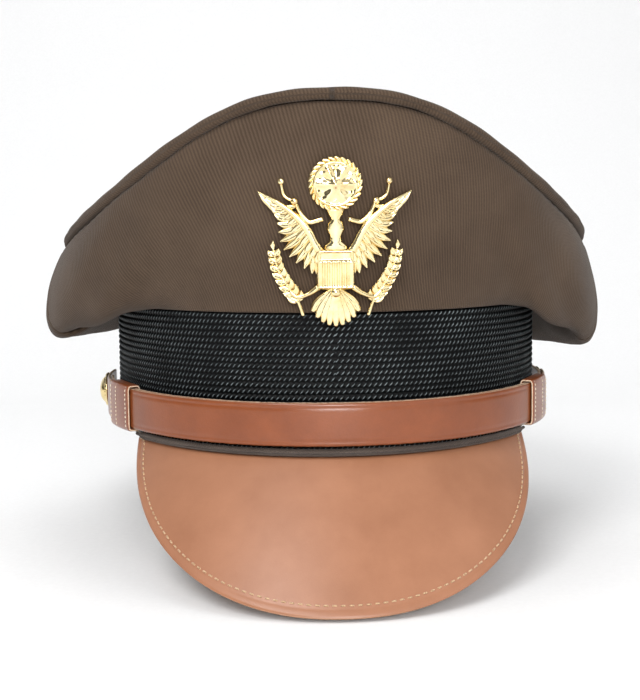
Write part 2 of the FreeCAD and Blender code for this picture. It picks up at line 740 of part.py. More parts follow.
def revolved(name, points, axis_x=True):
    """PartDesign body turned from a closed outline of (along, radius) expressions about the X axis."""
    body = doc.addObject("PartDesign::Body", name)
    sketch = body.newObject("Sketcher::SketchObject", name + "_outline")
    plane = next(f for f in body.Origin.OriginFeatures if f.Role == "XY_Plane")
    sketch.AttachmentSupport = [(plane, "")]
    sketch.MapMode = "FlatFace"
    turns = [2 * math.pi * i / len(points) for i in range(len(points))]
    guess = [V(5 * math.cos(turn), 20 + 5 * math.sin(turn), 0) for turn in turns]
    for i in range(len(points)):
        sketch.addGeometry(Part.LineSegment(guess[i], guess[(i + 1) % len(points)]), False)
    for i in range(len(points)):
        sketch.addConstraint(Sketcher.Constraint("Coincident", i, 2, (i + 1) % len(points), 1))
    for i, (along, radius) in enumerate(points):
        for kind, expression, value in (("DistanceX", along, guess[i].x), ("DistanceY", radius, guess[i].y)):
            index = sketch.addConstraint(Sketcher.Constraint(kind, -1, 1, i, 1, value))
            sketch.setExpression(f"Constraints[{index}]", expression)
    doc.recompute()
    turn = body.newObject("PartDesign::Revolution", name + "_turn")
    turn.Profile = sketch
    turn.ReferenceAxis = (sketch, ["H_Axis"])
    turn.Angle = 360
    body.Tip = turn
    sketch.Visibility = False
    return body


def side_button(label, side, layer):
    """Domed button with its shank, on the strap whose face is at the layer oval."""
    seat = f"(sizes.head_half_width + {layer} + 0.3)"
    inner_end = f"(sizes.head_half_width + {SWEATBAND} + 0.5)"
    top = f"{seat} + sizes.button_plate"
    outline = [
        (inner_end, "0"),
        (inner_end, "sizes.shank_radius"),
        (seat, "sizes.shank_radius"),
        (seat, "sizes.button_radius"),
        (top, "sizes.button_radius"),
    ]
    steps = 5
    for i in range(1, steps + 1):
        a = f"{90 * i / steps} deg"
        outline.append((f"{top} + sizes.button_dome * sin({a})", f"(sizes.button_radius - 0.5) * cos({a})"))
    body = revolved(label, outline)
    turn = FreeCAD.Rotation() if side > 0 else FreeCAD.Rotation(V(0, 0, 1), 180)
    body.Placement = FreeCAD.Placement(V(0, 0, S["button_height"]), turn)
    return body


def button_nut(label, side):
    """Round nut on the shank's inner end, between sweatband and frame."""
    low = f"(sizes.head_half_width + {FRAME_IN} - sizes.nut_room - sizes.nut_wall)"
    high = f"(sizes.head_half_width + {FRAME_IN} - sizes.nut_room)"
    bore = "sizes.shank_radius"
    body = revolved(label, [(low, bore), (low, "sizes.nut_radius"), (high, "sizes.nut_radius"), (high, bore)])
    turn = FreeCAD.Rotation() if side > 0 else FreeCAD.Rotation(V(0, 0, 1), 180)
    body.Placement = FreeCAD.Placement(V(0, 0, S["button_height"]), turn)
    return body


side_button("side_button_right", 1, STRAP_MID)
side_button("side_button_left", -1, STRAP_OUT)
button_nut("button_nut_right", 1)
button_nut("button_nut_left", -1)

# ---------------------------------------------------------------- badge

panel_low, panel_high = side_point(0, 0), side_point(0, 0.85)
panel_lean = math.atan2(panel_low.y - panel_high.y, panel_high.z - panel_low.z)


def badge_shell(back, wall):
    """Part of a round wall that stands parallel to the leaning front panel."""
    radius = S["badge_curve"] + back
    tall = 3 * S["badge_height"]
    shell = Part.makeCylinder(radius + wall, tall).cut(Part.makeCylinder(radius, tall))
    shell.translate(V(0, S["badge_curve"], -tall / 2))
    shell.rotate(V(0, 0, 0), V(1, 0, 0), math.degrees(panel_lean))
    middle = S["badge_foot"] + S["badge_height"] / 2
    face = panel_low.y - (middle - panel_low.z) * math.tan(panel_lean)
    shell.translate(V(0, face - S["badge_standoff"], middle))
    return shell


def badge_prism(points):
    """Prism through the badge, with an outline of (x, z) shares of its half width and height."""
    outline = [V(x * S["badge_half_width"], 0, S["badge_foot"] + z * S["badge_height"]) for x, z in points]
    prism = Part.Face(Part.makePolygon(outline + outline[:1])).extrude(V(0, -200, 0))
    return prism


def disc_points(z, radius, count=32):
    """Round outline about a point of the badge's middle line; radius is a share of its height."""
    stretch = S["badge_height"] / S["badge_half_width"]
    turns = [2 * math.pi * i / count for i in range(count)]
    return [(radius * stretch * math.cos(a), z + radius * math.sin(a)) for a in turns]


def mirrored(points):
    return [(-x, z) for x, z in points]


SHIELD = [(-0.26, 0.54), (0.26, 0.54), (0.26, 0.26), (0.2, 0.2), (0, 0.15), (-0.2, 0.2), (-0.26, 0.26)]
WING_EDGE_LOW = [(0.24, 0.33), (0.6, 0.36), (0.84, 0.5), (0.93, 0.66)]
WING = WING_EDGE_LOW + [(1.0, 0.83), (0.7, 0.76), (0.52, 0.66), (0.46, 0.54), (0.24, 0.5)]
SPRIG = [(0.24, 0.2), (0.6, 0.12), (0.76, 0.17), (0.96, 0.34), (0.86, 0.42), (0.66, 0.27), (0.24, 0.3)]
TAIL = [(-0.09, 0.2), (0.09, 0.2), (0.3, 0.07), (0.16, 0.01), (0, 0.0), (-0.16, 0.01), (-0.3, 0.07)]
NECK = [(-0.1, 0.5), (0.1, 0.5), (0.12, 0.74), (-0.12, 0.74)]

outlines = [SHIELD, WING, mirrored(WING), SPRIG, mirrored(SPRIG), TAIL, NECK, disc_points(0.855, 0.145)]
badge_flat = badge_prism(outlines[0]).multiFuse([badge_prism(o) for o in outlines[1:]])
badge_sheet = badge_flat.common(badge_shell(0, S["badge_plate"]))
raised = badge_prism(SHIELD).fuse(badge_prism(disc_points(0.855, 0.11)))
badge_raised = raised.common(badge_shell(S["badge_plate"] - 0.1, S["badge_relief"]))
badge_shape = badge_sheet.fuse(badge_raised)
feature("cap_badge", badge_shape)

# post: from inside the badge's back to just past the nut, which sits on the stay
nut_foot_share = (S["post_height"] - S["badge_nut_radius"] - CROWN_FOOT) / (S["rim_front_height"] - CROWN_FOOT)
NUT_SEAT = side_point(0, nut_foot_share).y
NUT_SEAT += STAY_DEPTH + S["stay_wall"] + 1.2
post_face = panel_low.y - (S["post_height"] - panel_low.z) * math.tan(panel_lean) - S["badge_standoff"]
badge_post = doc.addObject("Part::Cylinder", "badge_post")
badge_post.Placement = FreeCAD.Placement(V(0, post_face + 0.15, S["post_height"]), FreeCAD.Rotation(V(1, 0, 0), -90))
badge_post.Height = NUT_SEAT + S["badge_nut_wall"] + 1.0 - post_face - 0.15
bind(badge_post, Radius="sizes.post_radius")

nut_blank = Part.makeCylinder(S["badge_nut_radius"], S["badge_nut_wall"])
for i in range(int(S["badge_nut_flutes"])):
    a = 2 * math.pi * i / S["badge_nut_flutes"]
    at = V(math.cos(a), math.sin(a), 0) * (S["badge_nut_radius"] + 0.25)
    nut_blank = nut_blank.cut(Part.makeCylinder(0.55, S["badge_nut_wall"], at))
nut_blank = nut_blank.cut(Part.makeCylinder(S["post_radius"] + S["running_play"], S["badge_nut_wall"]))
badge_nut = feature("badge_nut", nut_blank)
badge_nut.Placement = FreeCAD.Placement(
    V(0, NUT_SEAT, S["post_height"]), FreeCAD.Rotation(V(1, 0, 0), -90)
)

# ---------------------------------------------------------------- checks and export

NODES = [
    "crown_top",
    "crown_front_panel",
    "crown_back_left_panel",
    "crown_back_right_panel",
    "crown_welt",
    "grommet_wire",
    "grommet_ferrule",
    "front_stiffener",
    "front_stay",
    "stay_rivets",
    "lining_side",
    "lining_tip",
    "sweat_shield",
    "band_frame",
    "mohair_band",
    "sweatband",
    "sweatband_reed",
    "visor_top",
    "visor_core",
    "visor_lining",
    "visor_cord",
    "chin_strap_inner",
    "chin_strap_outer",
    "keeper_left",
    "keeper_right",
    "side_button_left",
    "side_button_right",
    "button_nut_left",
    "button_nut_right",
    "cap_badge",
    "badge_post",
    "badge_nut",
]

doc.recompute()
failed = [obj.Label for obj in doc.Objects if "Invalid" in obj.State or "Error" in obj.State]
if failed:
    raise RuntimeError(f"failed: {failed}")
os.makedirs("parts", exist_ok=True)
for node in NODES:
    shape = doc.getObjectsByLabel(node)[0].Shape
    if shape.isNull() or not shape.isValid() or not shape.Solids:
        raise RuntimeError(f"{node} has no valid solid")
    shape.exportStep(f"parts/{node}.step")
print("keeper circle", keeper_centre, keeper_radius)
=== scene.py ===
import math

import bpy
import numpy as np
from mathutils import Matrix, Vector


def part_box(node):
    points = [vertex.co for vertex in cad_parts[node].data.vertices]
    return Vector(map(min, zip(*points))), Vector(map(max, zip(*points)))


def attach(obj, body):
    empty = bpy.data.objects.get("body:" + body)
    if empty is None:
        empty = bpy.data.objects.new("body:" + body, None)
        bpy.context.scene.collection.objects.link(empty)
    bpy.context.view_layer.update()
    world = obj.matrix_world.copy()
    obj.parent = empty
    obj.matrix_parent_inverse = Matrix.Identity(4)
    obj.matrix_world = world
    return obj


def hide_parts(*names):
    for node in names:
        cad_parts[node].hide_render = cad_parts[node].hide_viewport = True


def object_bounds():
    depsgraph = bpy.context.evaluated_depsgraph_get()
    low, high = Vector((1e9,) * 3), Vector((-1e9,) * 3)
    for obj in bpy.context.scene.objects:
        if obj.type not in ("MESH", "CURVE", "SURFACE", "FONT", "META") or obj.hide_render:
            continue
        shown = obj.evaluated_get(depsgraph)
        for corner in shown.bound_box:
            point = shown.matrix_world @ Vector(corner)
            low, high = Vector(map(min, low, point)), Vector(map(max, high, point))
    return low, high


# The looks of a service peaked cap. Lengths in the making of pieces are millimetres, and points are
# turned into metres when a mesh is made. An oval's angle runs from the front (0 degrees) towards +X.

MM = 0.001
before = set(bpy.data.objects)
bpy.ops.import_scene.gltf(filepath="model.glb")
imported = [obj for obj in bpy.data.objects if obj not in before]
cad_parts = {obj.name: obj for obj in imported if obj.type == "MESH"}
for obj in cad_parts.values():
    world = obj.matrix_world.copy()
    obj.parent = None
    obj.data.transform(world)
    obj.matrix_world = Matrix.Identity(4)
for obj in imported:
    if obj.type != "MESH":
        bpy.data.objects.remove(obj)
cad_low, cad_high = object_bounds()

# ---------------------------------------------------------------- sizes, from the frame and from part.py


def box_mm(node):
    """Lowest and highest corner of a CAD node's box, in millimetres."""
    low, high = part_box(node)
    return np.array(low) / MM, np.array(high) / MM


braid_low, braid_high = box_mm("mohair_band")
sweat_high = box_mm("sweatband")[1]
HEAD = np.array([83.5, 100.5])              # half width and half length of the head opening
BRAID_FACE = braid_high[0] - HEAD[0]        # distance from the head opening to the braid's face
SWEAT_FACE = sweat_high[0] - HEAD[0]
BAND_TOP = braid_high[2]
BAND_HEM = braid_low[2]
RIM_HALF_WIDTH, RIM_FRONT, RIM_BACK = 110.5, 116.0, 128.0
RIM_TOP, RIM_LOW = 128.8, 64.0
RIM_CENTRE = 105.0
ROLL = 2.2                                  # radius of the rolled edge
PEAK_ANGLE, PEAK_POWER = 47.7, 2.55
LOBE_ANGLE, LOBE_POWER = 55.0, 6
LOBE_OUT, LOBE_SPREAD, LOBE_DROP, LOBE_SKEW = 32.0, 3.0, 42.0, 5.0
SEAM_ANGLE = 75.0
CLOTH = 1.2
SIDE_RUN = 85.0                             # length of the crown's side, from the band up to the rim
CROWN_OVERHANG, CROWN_GAP = 0.15, 0.2       # crown's foot, outside the braid's face and above its top
STRAP_RISE = 0.0
STRAP_WIDTH, STRAP_WALL, STRAP_GAP, STRAP_PLAY = 15.6, 1.4, 2.3, 0.2
BUTTON_Z, BUTTON_PLATE, BUTTON_DOME = 12.2, 1.2, 3.2
VISOR_SLOPE = math.radians(50)
VISOR_HALF_WIDTH, VISOR_DROP, VISOR_FULLNESS = 77.5, 47.5, 2.3

# ---------------------------------------------------------------- mesh helpers


def make_mesh(name, points, faces, smooth=True):
    """Mesh object from points in millimetres."""
    mesh = bpy.data.meshes.new(name)
    mesh.from_pydata((np.asarray(points, float) * MM).tolist(), [], [tuple(f) for f in faces])
    mesh.validate()
    mesh.polygons.foreach_set("use_smooth", [smooth] * len(mesh.polygons))
    obj = bpy.data.objects.new(name, mesh)
    bpy.context.scene.collection.objects.link(obj)
    return obj


def place(obj, material, body="cap", slot=None, stands_for=()):
    """Gives a finished piece its material and body, and hides the CAD nodes that it stands for. slot is not
    used.
    """
    obj.data.materials.clear()
    obj.data.materials.append(material)
    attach(obj, body)
    if stands_for:
        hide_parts(*stands_for)
    return obj


def quads(rows, columns, wrap_rows=False, wrap_columns=False, start=0, flip=False):
    """Quads of a grid of points that are numbered row by row."""
    r = np.arange(rows if wrap_rows else rows - 1)
    c = np.arange(columns if wrap_columns else columns - 1)
    r, c = [a.ravel() for a in np.meshgrid(r, c, indexing="ij")]
    r2, c2 = (r + 1) % rows, (c + 1) % columns
    found = np.stack([r * columns + c, r2 * columns + c, r2 * columns + c2, r * columns + c2], 1) + start
    return found[:, ::-1] if flip else found


def grid_normals(grid, wrap_rows=False, wrap_columns=False):
    """Unit normals of a grid of points."""

    def change(axis, wrap):
        if wrap:
            return np.roll(grid, -1, axis) - np.roll(grid, 1, axis)
        return np.gradient(grid, axis=axis)

    normal = np.cross(change(0, wrap_rows), change(1, wrap_columns))
    return normal / np.maximum(np.linalg.norm(normal, axis=2, keepdims=True), 1e-9)


def set_uv(obj, uv):
    """UV layer in metres from one (u, v) pair per point."""
    mesh = obj.data
    layer = mesh.uv_layers.new(name="weave")
    corners = np.zeros(len(mesh.loops), int)
    mesh.loops.foreach_get("vertex_index", corners)
    layer.data.foreach_set("uv", (np.asarray(uv, float)[corners] * MM).ravel())


def set_painted_light(obj, tone):
    """Grey value per point, which a material reads as 'tone': painted highlight where it is high, painted
    shade where it is low.
    """
    layer = obj.data.attributes.new("tone", "FLOAT", "POINT")
    layer.data.foreach_set("value", np.asarray(tone, float).ravel())


def sheet_between(name, outer, inner, wrap_rows=False, uv=None):
    """Closed sheet between two grids. Rows run along the sheet, and wrap when it is a ring."""
    rows, columns = outer.shape[:2]
    count = rows * columns
    points = np.concatenate([outer.reshape(-1, 3), inner.reshape(-1, 3)])
    faces = [quads(rows, columns, wrap_rows), quads(rows, columns, wrap_rows, start=count, flip=True)]
    r = np.arange(rows if wrap_rows else rows - 1)
    r2 = (r + 1) % rows
    for column, turn in ((0, 1), (columns - 1, -1)):
        a, b = r * columns + column, r2 * columns + column
        faces.append(np.stack([a, a + count, b + count, b], 1)[:, ::turn])
    if not wrap_rows:
        c = np.arange(columns - 1)
        for row, turn in ((0, -1), (rows - 1, 1)):
            a, b = row * columns + c, row * columns + c + 1
            faces.append(np.stack([a, a + count, b + count, b], 1)[:, ::turn])
    obj = make_mesh(name, points, np.concatenate(faces))
    if uv is not None:
        set_uv(obj, np.concatenate([uv.reshape(-1, 2)] * 2))
    return obj


def tube_along(name, path, radius, sides=12, closed=False, squash=1.0, uv=True):
    """Round rod along points. radius may be one number or one per point."""
    path = np.asarray(path, float)
    count = len(path)
    ahead = np.roll(path, -1, 0) - np.roll(path, 1, 0) if closed else np.gradient(path, axis=0)
    ahead /= np.linalg.norm(ahead, axis=1, keepdims=True)
    side = np.cross(ahead, [0, 0, 1.0])
    side[np.linalg.norm(side, axis=1) < 1e-3] = [1, 0, 0]
    side /= np.linalg.norm(side, axis=1, keepdims=True)
    up = np.cross(side, ahead)
    turn = np.linspace(0, 2 * math.pi, sides, endpoint=False)
    radius = np.broadcast_to(np.asarray(radius, float), count)[:, None, None]
    ring = side[:, None] * np.cos(turn)[None, :, None] + up[:, None] * (squash * np.sin(turn))[None, :, None]
    points = (path[:, None] + radius * ring).reshape(-1, 3)
    faces = quads(count, sides, wrap_rows=closed, wrap_columns=True, flip=True).tolist()
    if not closed:
        faces.append(list(range(sides)))
        faces.append(list(range((count - 1) * sides, count * sides))[::-1])
    obj = make_mesh(name, points, faces)
    if uv:
        run = run_length(path)
        around = turn * float(radius.mean())
        set_uv(obj, np.stack(np.meshgrid(run, around, indexing="ij"), 2).reshape(-1, 2))
    return obj


def joined(name, objects):
    """One object from several meshes."""
    bpy.ops.object.select_all(action="DESELECT")
    for obj in objects:
        obj.select_set(True)
    bpy.context.view_layer.objects.active = objects[0]
    bpy.ops.object.join()
    objects[0].name = name
    objects[0].data.name = name
    return objects[0]


def run_length(points):
    """Distance from the start at each point of a path."""
    return np.concatenate([[0], np.cumsum(np.linalg.norm(np.diff(points, axis=0), axis=1))])


def evenly(path, pitch):
    """Points spaced evenly along a path, about pitch apart."""
    path = np.asarray(path, float)
    run = run_length(path)
    count = max(2, int(round(run[-1] / pitch)) + 1)
    at = np.linspace(0, run[-1], count)
    return np.stack([np.interp(at, run, path[:, k]) for k in range(3)], 1)


def stitches(name, path, outward, pitch, thickness, lift=0.1, share=0.72, slant=0.0):
    """Row of thread stitches: each one rises out of its hole, lies on the surface, and goes back in."""
    path = np.asarray(path, float)
    knots = evenly(path, pitch)
    run = run_length(path)
    out_at = np.linspace(0, run[-1], len(knots))
    outward = np.broadcast_to(np.asarray(outward, float), path.shape)
    outs = np.stack([np.interp(out_at, run, outward[:, k]) for k in range(3)], 1)
    steps, sides = 7, 6
    s = np.linspace(-1, 1, steps)
    height = lift * (1 - s**4) - thickness * np.abs(s) ** 6
    width = 0.5 * thickness * (1 - 0.35 * s**4)
    turn = np.linspace(0, 2 * math.pi, sides, endpoint=False)
    points, faces = [], []
    for a, b, out in zip(knots[:-1], knots[1:], outs):
        along = (b - a) / np.linalg.norm(b - a)
        across = np.cross(out, along)
        across /= np.linalg.norm(across)
        along_slanted = along + slant * across
        centre = (a + b) / 2
        half = 0.5 * share * np.linalg.norm(b - a)
        line = centre + np.outer(s * half, along_slanted) + np.outer(height, out)
        ring = np.cos(turn)[None, :, None] * across + np.sin(turn)[None, :, None] * out
        start = len(points) * steps * sides
        points.append((line[:, None] + width[:, None, None] * ring).reshape(-1, 3))
        faces.append(quads(steps, sides, wrap_columns=True, start=start))
    return make_mesh(name, np.concatenate(points), np.concatenate(faces))


# ---------------------------------------------------------------- material helpers


class Nodes:
    """A material under construction, with short calls for the nodes that every surface here uses."""

    def __init__(self, name):
        self.material = bpy.data.materials.new(name)
        self.material.use_nodes = True
        self.tree = self.material.node_tree
        self.shader = self.tree.nodes["Principled BSDF"]

    def add(self, kind, **settings):
        """New node with its settings."""
        node = self.tree.nodes.new(kind)
        for key, value in settings.items():
            setattr(node, key, value)
        return node

    def link(self, source, target):
        """Joins an output to an input."""
        self.tree.links.new(source, target)

    def feed(self, socket, value):
        """Links or sets an input, whichever the value calls for."""
        if isinstance(value, bpy.types.NodeSocket):
            self.link(value, socket)
        else:
            socket.default_value = value

    def math(self, operation, a, b=0.0, clamp=False):
        """Result of one arithmetic step."""
        node = self.add("ShaderNodeMath", operation=operation, use_clamp=clamp)
        self.feed(node.inputs[0], a)
        self.feed(node.inputs[1], b)
        return node.outputs[0]

    def uv(self):
        """The two UV coordinates, in millimetres."""
        split = self.add("ShaderNodeSeparateXYZ")
        self.link(self.add("ShaderNodeTexCoord").outputs["UV"], split.inputs[0])
        return [self.math("MULTIPLY", split.outputs[k], 1 / MM) for k in (0, 1)]

    def place(self, stretch=(1, 1, 1)):
        """The point in the cap's own frame, in millimetres."""
        scale = self.add("ShaderNodeVectorMath", operation="MULTIPLY")
        self.link(self.add("ShaderNodeTexCoord").outputs["Object"], scale.inputs[0])
        scale.inputs[1].default_value = [k / MM for k in stretch]
        return scale.outputs[0]

    def noise(self, vector, period, detail=3.0, roughness=0.55):
        """Cloudy noise, its period in millimetres."""
        node = self.add("ShaderNodeTexNoise")
        self.link(vector, node.inputs["Vector"])
        node.inputs["Scale"].default_value = 1 / period
        node.inputs["Detail"].default_value = detail
        node.inputs["Roughness"].default_value = roughness
        return node.outputs["Fac"]

    def cells(self, vector, period, feature="F1"):
        """Distance to the nearest cell centre."""
        node = self.add("ShaderNodeTexVoronoi", feature=feature)
        self.link(vector, node.inputs["Vector"])
        node.inputs["Scale"].default_value = 1 / period
        return node.outputs["Distance"]

    def wave(self, value, period):
        """0 to 1 sine of a length with the given period."""
        turned = self.math("SINE", self.math("MULTIPLY", value, 2 * math.pi / period))
        return self.math("ADD", self.math("MULTIPLY", turned, 0.5), 0.5)

    def ramp(self, value, *stops):
        """Colours at positions 0 to 1."""
        node = self.add("ShaderNodeValToRGB")
        self.feed(node.inputs[0], value)
        ramp = node.color_ramp
        while len(ramp.elements) < len(stops):
            ramp.elements.new(0.5)
        for element, (position, colour) in zip(ramp.elements, stops):
            element.position = position
            element.color = (*colour, 1)
        return node.outputs[0]

    def span(self, value, low, high):
        """Maps 0..1 to low..high."""
        return self.math("ADD", self.math("MULTIPLY", value, high - low), low)

    def bump(self, height, distance, strength=1.0):
        """Relief of the shaded surface, its depth in millimetres."""
        node = self.add("ShaderNodeBump")
        self.link(height, node.inputs["Height"])
        node.inputs["Distance"].default_value = distance * MM
        node.inputs["Strength"].default_value = strength
        self.link(node.outputs[0], self.shader.inputs["Normal"])
        return node

    def finish(self, colour, roughness, **settings):
        """Feeds the shader and gives back the material."""
        self.feed(self.shader.inputs["Base Color"], colour)
        self.feed(self.shader.inputs["Roughness"], roughness)
        for name, value in settings.items():
            self.shader.inputs[name.replace("_", " ")].default_value = value
        return self.material


# ---------------------------------------------------------------- materials


def cloth(name, dark, light, ridge=1.25, lean=0.22, weft=0.62, relief=0.16):
    """Twill: steep ridges, crossed by fine weft, with fibre fuzz and faint uneven dye."""
    n = Nodes(name)
    u, v = n.uv()
    slanted = n.math("ADD", u, n.math("MULTIPLY", v, lean))
    wander = n.math("MULTIPLY", n.noise(n.place(), 3.0), 0.5)
    ridges = n.wave(n.math("ADD", slanted, wander), ridge)
    crossing = n.wave(n.math("ADD", v, n.math("MULTIPLY", u, -0.5)), weft)
    height = n.math("ADD", n.math("MULTIPLY", ridges, 0.65), n.math("MULTIPLY", crossing, 0.35))
    fuzz = n.noise(n.place(), 0.35, 2)
    height = n.math("ADD", height, n.math("MULTIPLY", fuzz, 0.5))
    dye = n.math("MULTIPLY", n.noise(n.place(), 26, 3), 0.45)
    tone = n.math("ADD", n.math("MULTIPLY", height, 0.42), dye, clamp=True)
    n.bump(height, relief)
    colour = n.ramp(tone, (0.25, dark), (0.8, light))
    return n.finish(colour, 0.9, Sheen_Weight=0.1, Sheen_Roughness=0.45, Specular_IOR_Level=0.12)


def leather(name, dark, light, rough, grain=0.9, relief=0.05, coat=0.0, worn=0.25):
    """Vegetable-tanned leather: pebbled grain, uneven dye, and a gloss that the grain breaks up."""
    n = Nodes(name)
    place = n.place()
    pebbles = n.cells(place, grain, "SMOOTH_F1")
    pores = n.noise(place, 0.35, 2)
    height = n.math("ADD", n.math("MULTIPLY", pebbles, 0.8), n.math("MULTIPLY", pores, 0.35))
    clouds = n.noise(place, 22, 4, 0.6)
    tone = n.math("ADD", n.math("MULTIPLY", clouds, 0.8), n.math("MULTIPLY", pores, 0.2), clamp=True)
    gloss = n.span(n.noise(place, 9, 3), rough - 0.5 * worn * rough, rough + 0.5 * worn * rough)
    n.bump(height, relief)
    colour = n.ramp(tone, (0.3, dark), (0.72, light))
    return n.finish(colour, gloss, Coat_Weight=coat, Coat_Roughness=0.28, Specular_IOR_Level=0.45)


def raw_edge(name, dark, light):
    """Cut edge of leather: pale matted fibres, darker between the layers."""
    n = Nodes(name)
    fibres = n.noise(n.place((1, 1, 3)), 0.5, 4, 0.7)
    n.bump(fibres, 0.12)
    return n.finish(n.ramp(fibres, (0.3, dark), (0.7, light)), 0.85, Specular_IOR_Level=0.2)


def thread(name, dark, light, twist=0.35):
    """Sewing thread, with the twist of its plies."""
    n = Nodes(name)
    plies = n.cells(n.place((1, 1, 1)), twist)
    n.bump(plies, 0.06)
    return n.finish(n.ramp(plies, (0.1, light), (0.8, dark)), 0.6, Sheen_Weight=0.3, Specular_IOR_Level=0.3)


def braid_yarn(name, shadow, body, painted_highlight):
    """Black braid: painted shade in the grooves, and a painted silvery highlight where a strand comes to the
    top.
    """
    n = Nodes(name)
    tone = n.add("ShaderNodeAttribute", attribute_name="tone").outputs["Fac"]
    patch = n.math("MULTIPLY", n.noise(n.place(), 14, 3), 0.3)
    fibre = n.noise(n.place((1, 1, 2)), 0.3, 2)
    lit = n.math("MULTIPLY", tone, n.span(fibre, 0.55, 1.15))
    value = n.math("ADD", lit, n.math("SUBTRACT", patch, 0.15))
    n.bump(fibre, 0.05)
    # painted light: the darkest stop is painted shade in the grooves, the palest stop a painted highlight on
    # the strand tops
    colour = n.ramp(value, (0.35, shadow), (0.62, body), (0.95, painted_highlight))
    return n.finish(colour, n.span(fibre, 0.4, 0.55), Specular_IOR_Level=0.12)


def metal(name, colour, deep, rough, relief=0.03, wear=8.0):
    """Polished plate: slight unevenness from striking, and tarnish that gathers in patches."""
    n = Nodes(name)
    place = n.place()
    hammer = n.noise(place, 1.6, 3)
    tarnish = n.noise(place, wear, 4, 0.65)
    n.bump(hammer, relief)
    return n.finish(
        n.ramp(tarnish, (0.25, deep), (0.55, colour)), n.span(tarnish, rough * 1.6, rough * 0.8), Metallic=1.0
    )


def board(name, dark, light):
    """Pressed fibreboard or buckram: flecks of fibre in a dull ground."""
    n = Nodes(name)
    flecks = n.noise(n.place((1, 1, 4)), 1.4, 4, 0.7)
    n.bump(flecks, 0.08)
    return n.finish(n.ramp(flecks, (0.3, dark), (0.7, light)), 0.85, Specular_IOR_Level=0.2)


def satin_lining(name, dark, light):
    """Lining satin: fine warp lines with a soft sheen."""
    n = Nodes(name)
    u, v = n.uv()
    warp = n.math("ADD", n.wave(u, 0.55), n.math("MULTIPLY", n.wave(v, 0.9), 0.4))
    cloud = n.noise(n.place(), 18, 3)
    n.bump(warp, 0.05)
    tone = n.math("ADD", n.math("MULTIPLY", cloud, 0.8), n.math("MULTIPLY", warp, 0.12))
    return n.finish(n.ramp(tone, (0.3, dark), (0.75, light)), 0.42, Sheen_Weight=0.25, Specular_IOR_Level=0.4)


def clear_film(name):
    """Thin clear vinyl, slightly yellowed, with faint ripples."""
    n = Nodes(name)
    ripple = n.noise(n.place(), 11, 2)
    n.bump(ripple, 0.4)
    return n.finish(
        n.ramp(ripple, (0.3, (0.86, 0.82, 0.7)), (0.7, (0.95, 0.93, 0.86))),
        n.span(ripple, 0.1, 0.22),
        Transmission_Weight=0.85,
        IOR=1.45,
    )


CROWN = cloth("crown_twill", (0.036, 0.023, 0.015), (0.098, 0.066, 0.044))
# braid colours: near-black body, a darker painted shade for the grooves, and a pale painted highlight for the
# strand tops
BRAID_MAT = braid_yarn("mohair_braid", (0.0006, 0.0008, 0.001), (0.002, 0.003, 0.0036), (0.25, 0.29, 0.30))
STRAP = leather(
    "strap_leather", (0.16, 0.038, 0.009), (0.25, 0.066, 0.018), 0.30, grain=0.8, relief=0.045, coat=0.25
)
VISOR = leather(
    "visor_leather", (0.27, 0.112, 0.055), (0.35, 0.155, 0.082), 0.40, grain=0.6, relief=0.018, coat=0.1
)
UNDERSIDE = leather("visor_facing", (0.20, 0.085, 0.040), (0.30, 0.140, 0.070), 0.5, grain=1.1, relief=0.05)
SWEAT = leather("sweatband_leather", (0.20, 0.090, 0.040), (0.34, 0.170, 0.085), 0.46, grain=1.2, relief=0.05)
EDGE = raw_edge("raw_leather_edge", (0.42, 0.27, 0.17), (0.80, 0.66, 0.50))
VISOR_EDGE = raw_edge("visor_edge", (0.28, 0.13, 0.07), (0.55, 0.33, 0.20))
PIPING = cloth("seam_piping", (0.035, 0.026, 0.022), (0.12, 0.095, 0.08), ridge=0.9, lean=1.0, weft=0.9)
GILT = metal("gilt", (0.95, 0.80, 0.46), (0.70, 0.50, 0.20), 0.13, relief=0.05)
BRASS = metal("plain_brass", (0.72, 0.55, 0.26), (0.48, 0.33, 0.14), 0.3)
STEEL = metal("spring_steel", (0.56, 0.57, 0.60), (0.36, 0.36, 0.38), 0.32)
TAN_THREAD = thread("tan_thread", (0.30, 0.16, 0.07), (0.72, 0.52, 0.32))
CREAM_THREAD = thread("cream_thread", (0.52, 0.43, 0.30), (0.82, 0.74, 0.60))
LINING = satin_lining("lining_satin", (0.16, 0.095, 0.045), (0.30, 0.19, 0.10))
HAIRCLOTH = board("haircloth", (0.40, 0.34, 0.25), (0.62, 0.55, 0.43))
BOARD = board("fibreboard", (0.22, 0.17, 0.12), (0.38, 0.30, 0.22))
FILM = clear_film("clear_vinyl")

# ---------------------------------------------------------------- forms shared by several pieces


def oval(angle, grow):
    """Points of the oval that lies grow outside the head opening, with z = 0."""
    a = np.radians(angle)
    return np.stack([(HEAD[0] + grow) * np.sin(a), -(HEAD[1] + grow) * np.cos(a), 0 * a], -1)


def oval_outward(angle, grow):
    """Directions square to the oval that lies grow outside the head opening."""
    a = np.radians(angle)
    out = np.stack([np.sin(a) / (HEAD[0] + grow), -np.cos(a) / (HEAD[1] + grow), 0 * a], -1)
    return out / np.linalg.norm(out, axis=-1, keepdims=True)


def share_of_front(angle, half_angle, power):
    """1 at the front, 0.5 at half_angle, and near 0 at the back."""
    away = np.abs((angle + 180) % 360 - 180)
    return 1 / (1 + (away / half_angle) ** power)


def rim(angle, inset=0.0):
    """The crown's rim line, as in part.py."""
    a = np.radians(angle)
    reach = np.where(np.cos(a) > 0, RIM_FRONT, RIM_BACK)
    height = RIM_LOW + (RIM_TOP - RIM_LOW) * share_of_front(angle, PEAK_ANGLE, PEAK_POWER)
    return np.stack([(RIM_HALF_WIDTH - inset) * np.sin(a), -(reach - inset) * np.cos(a), height], -1)


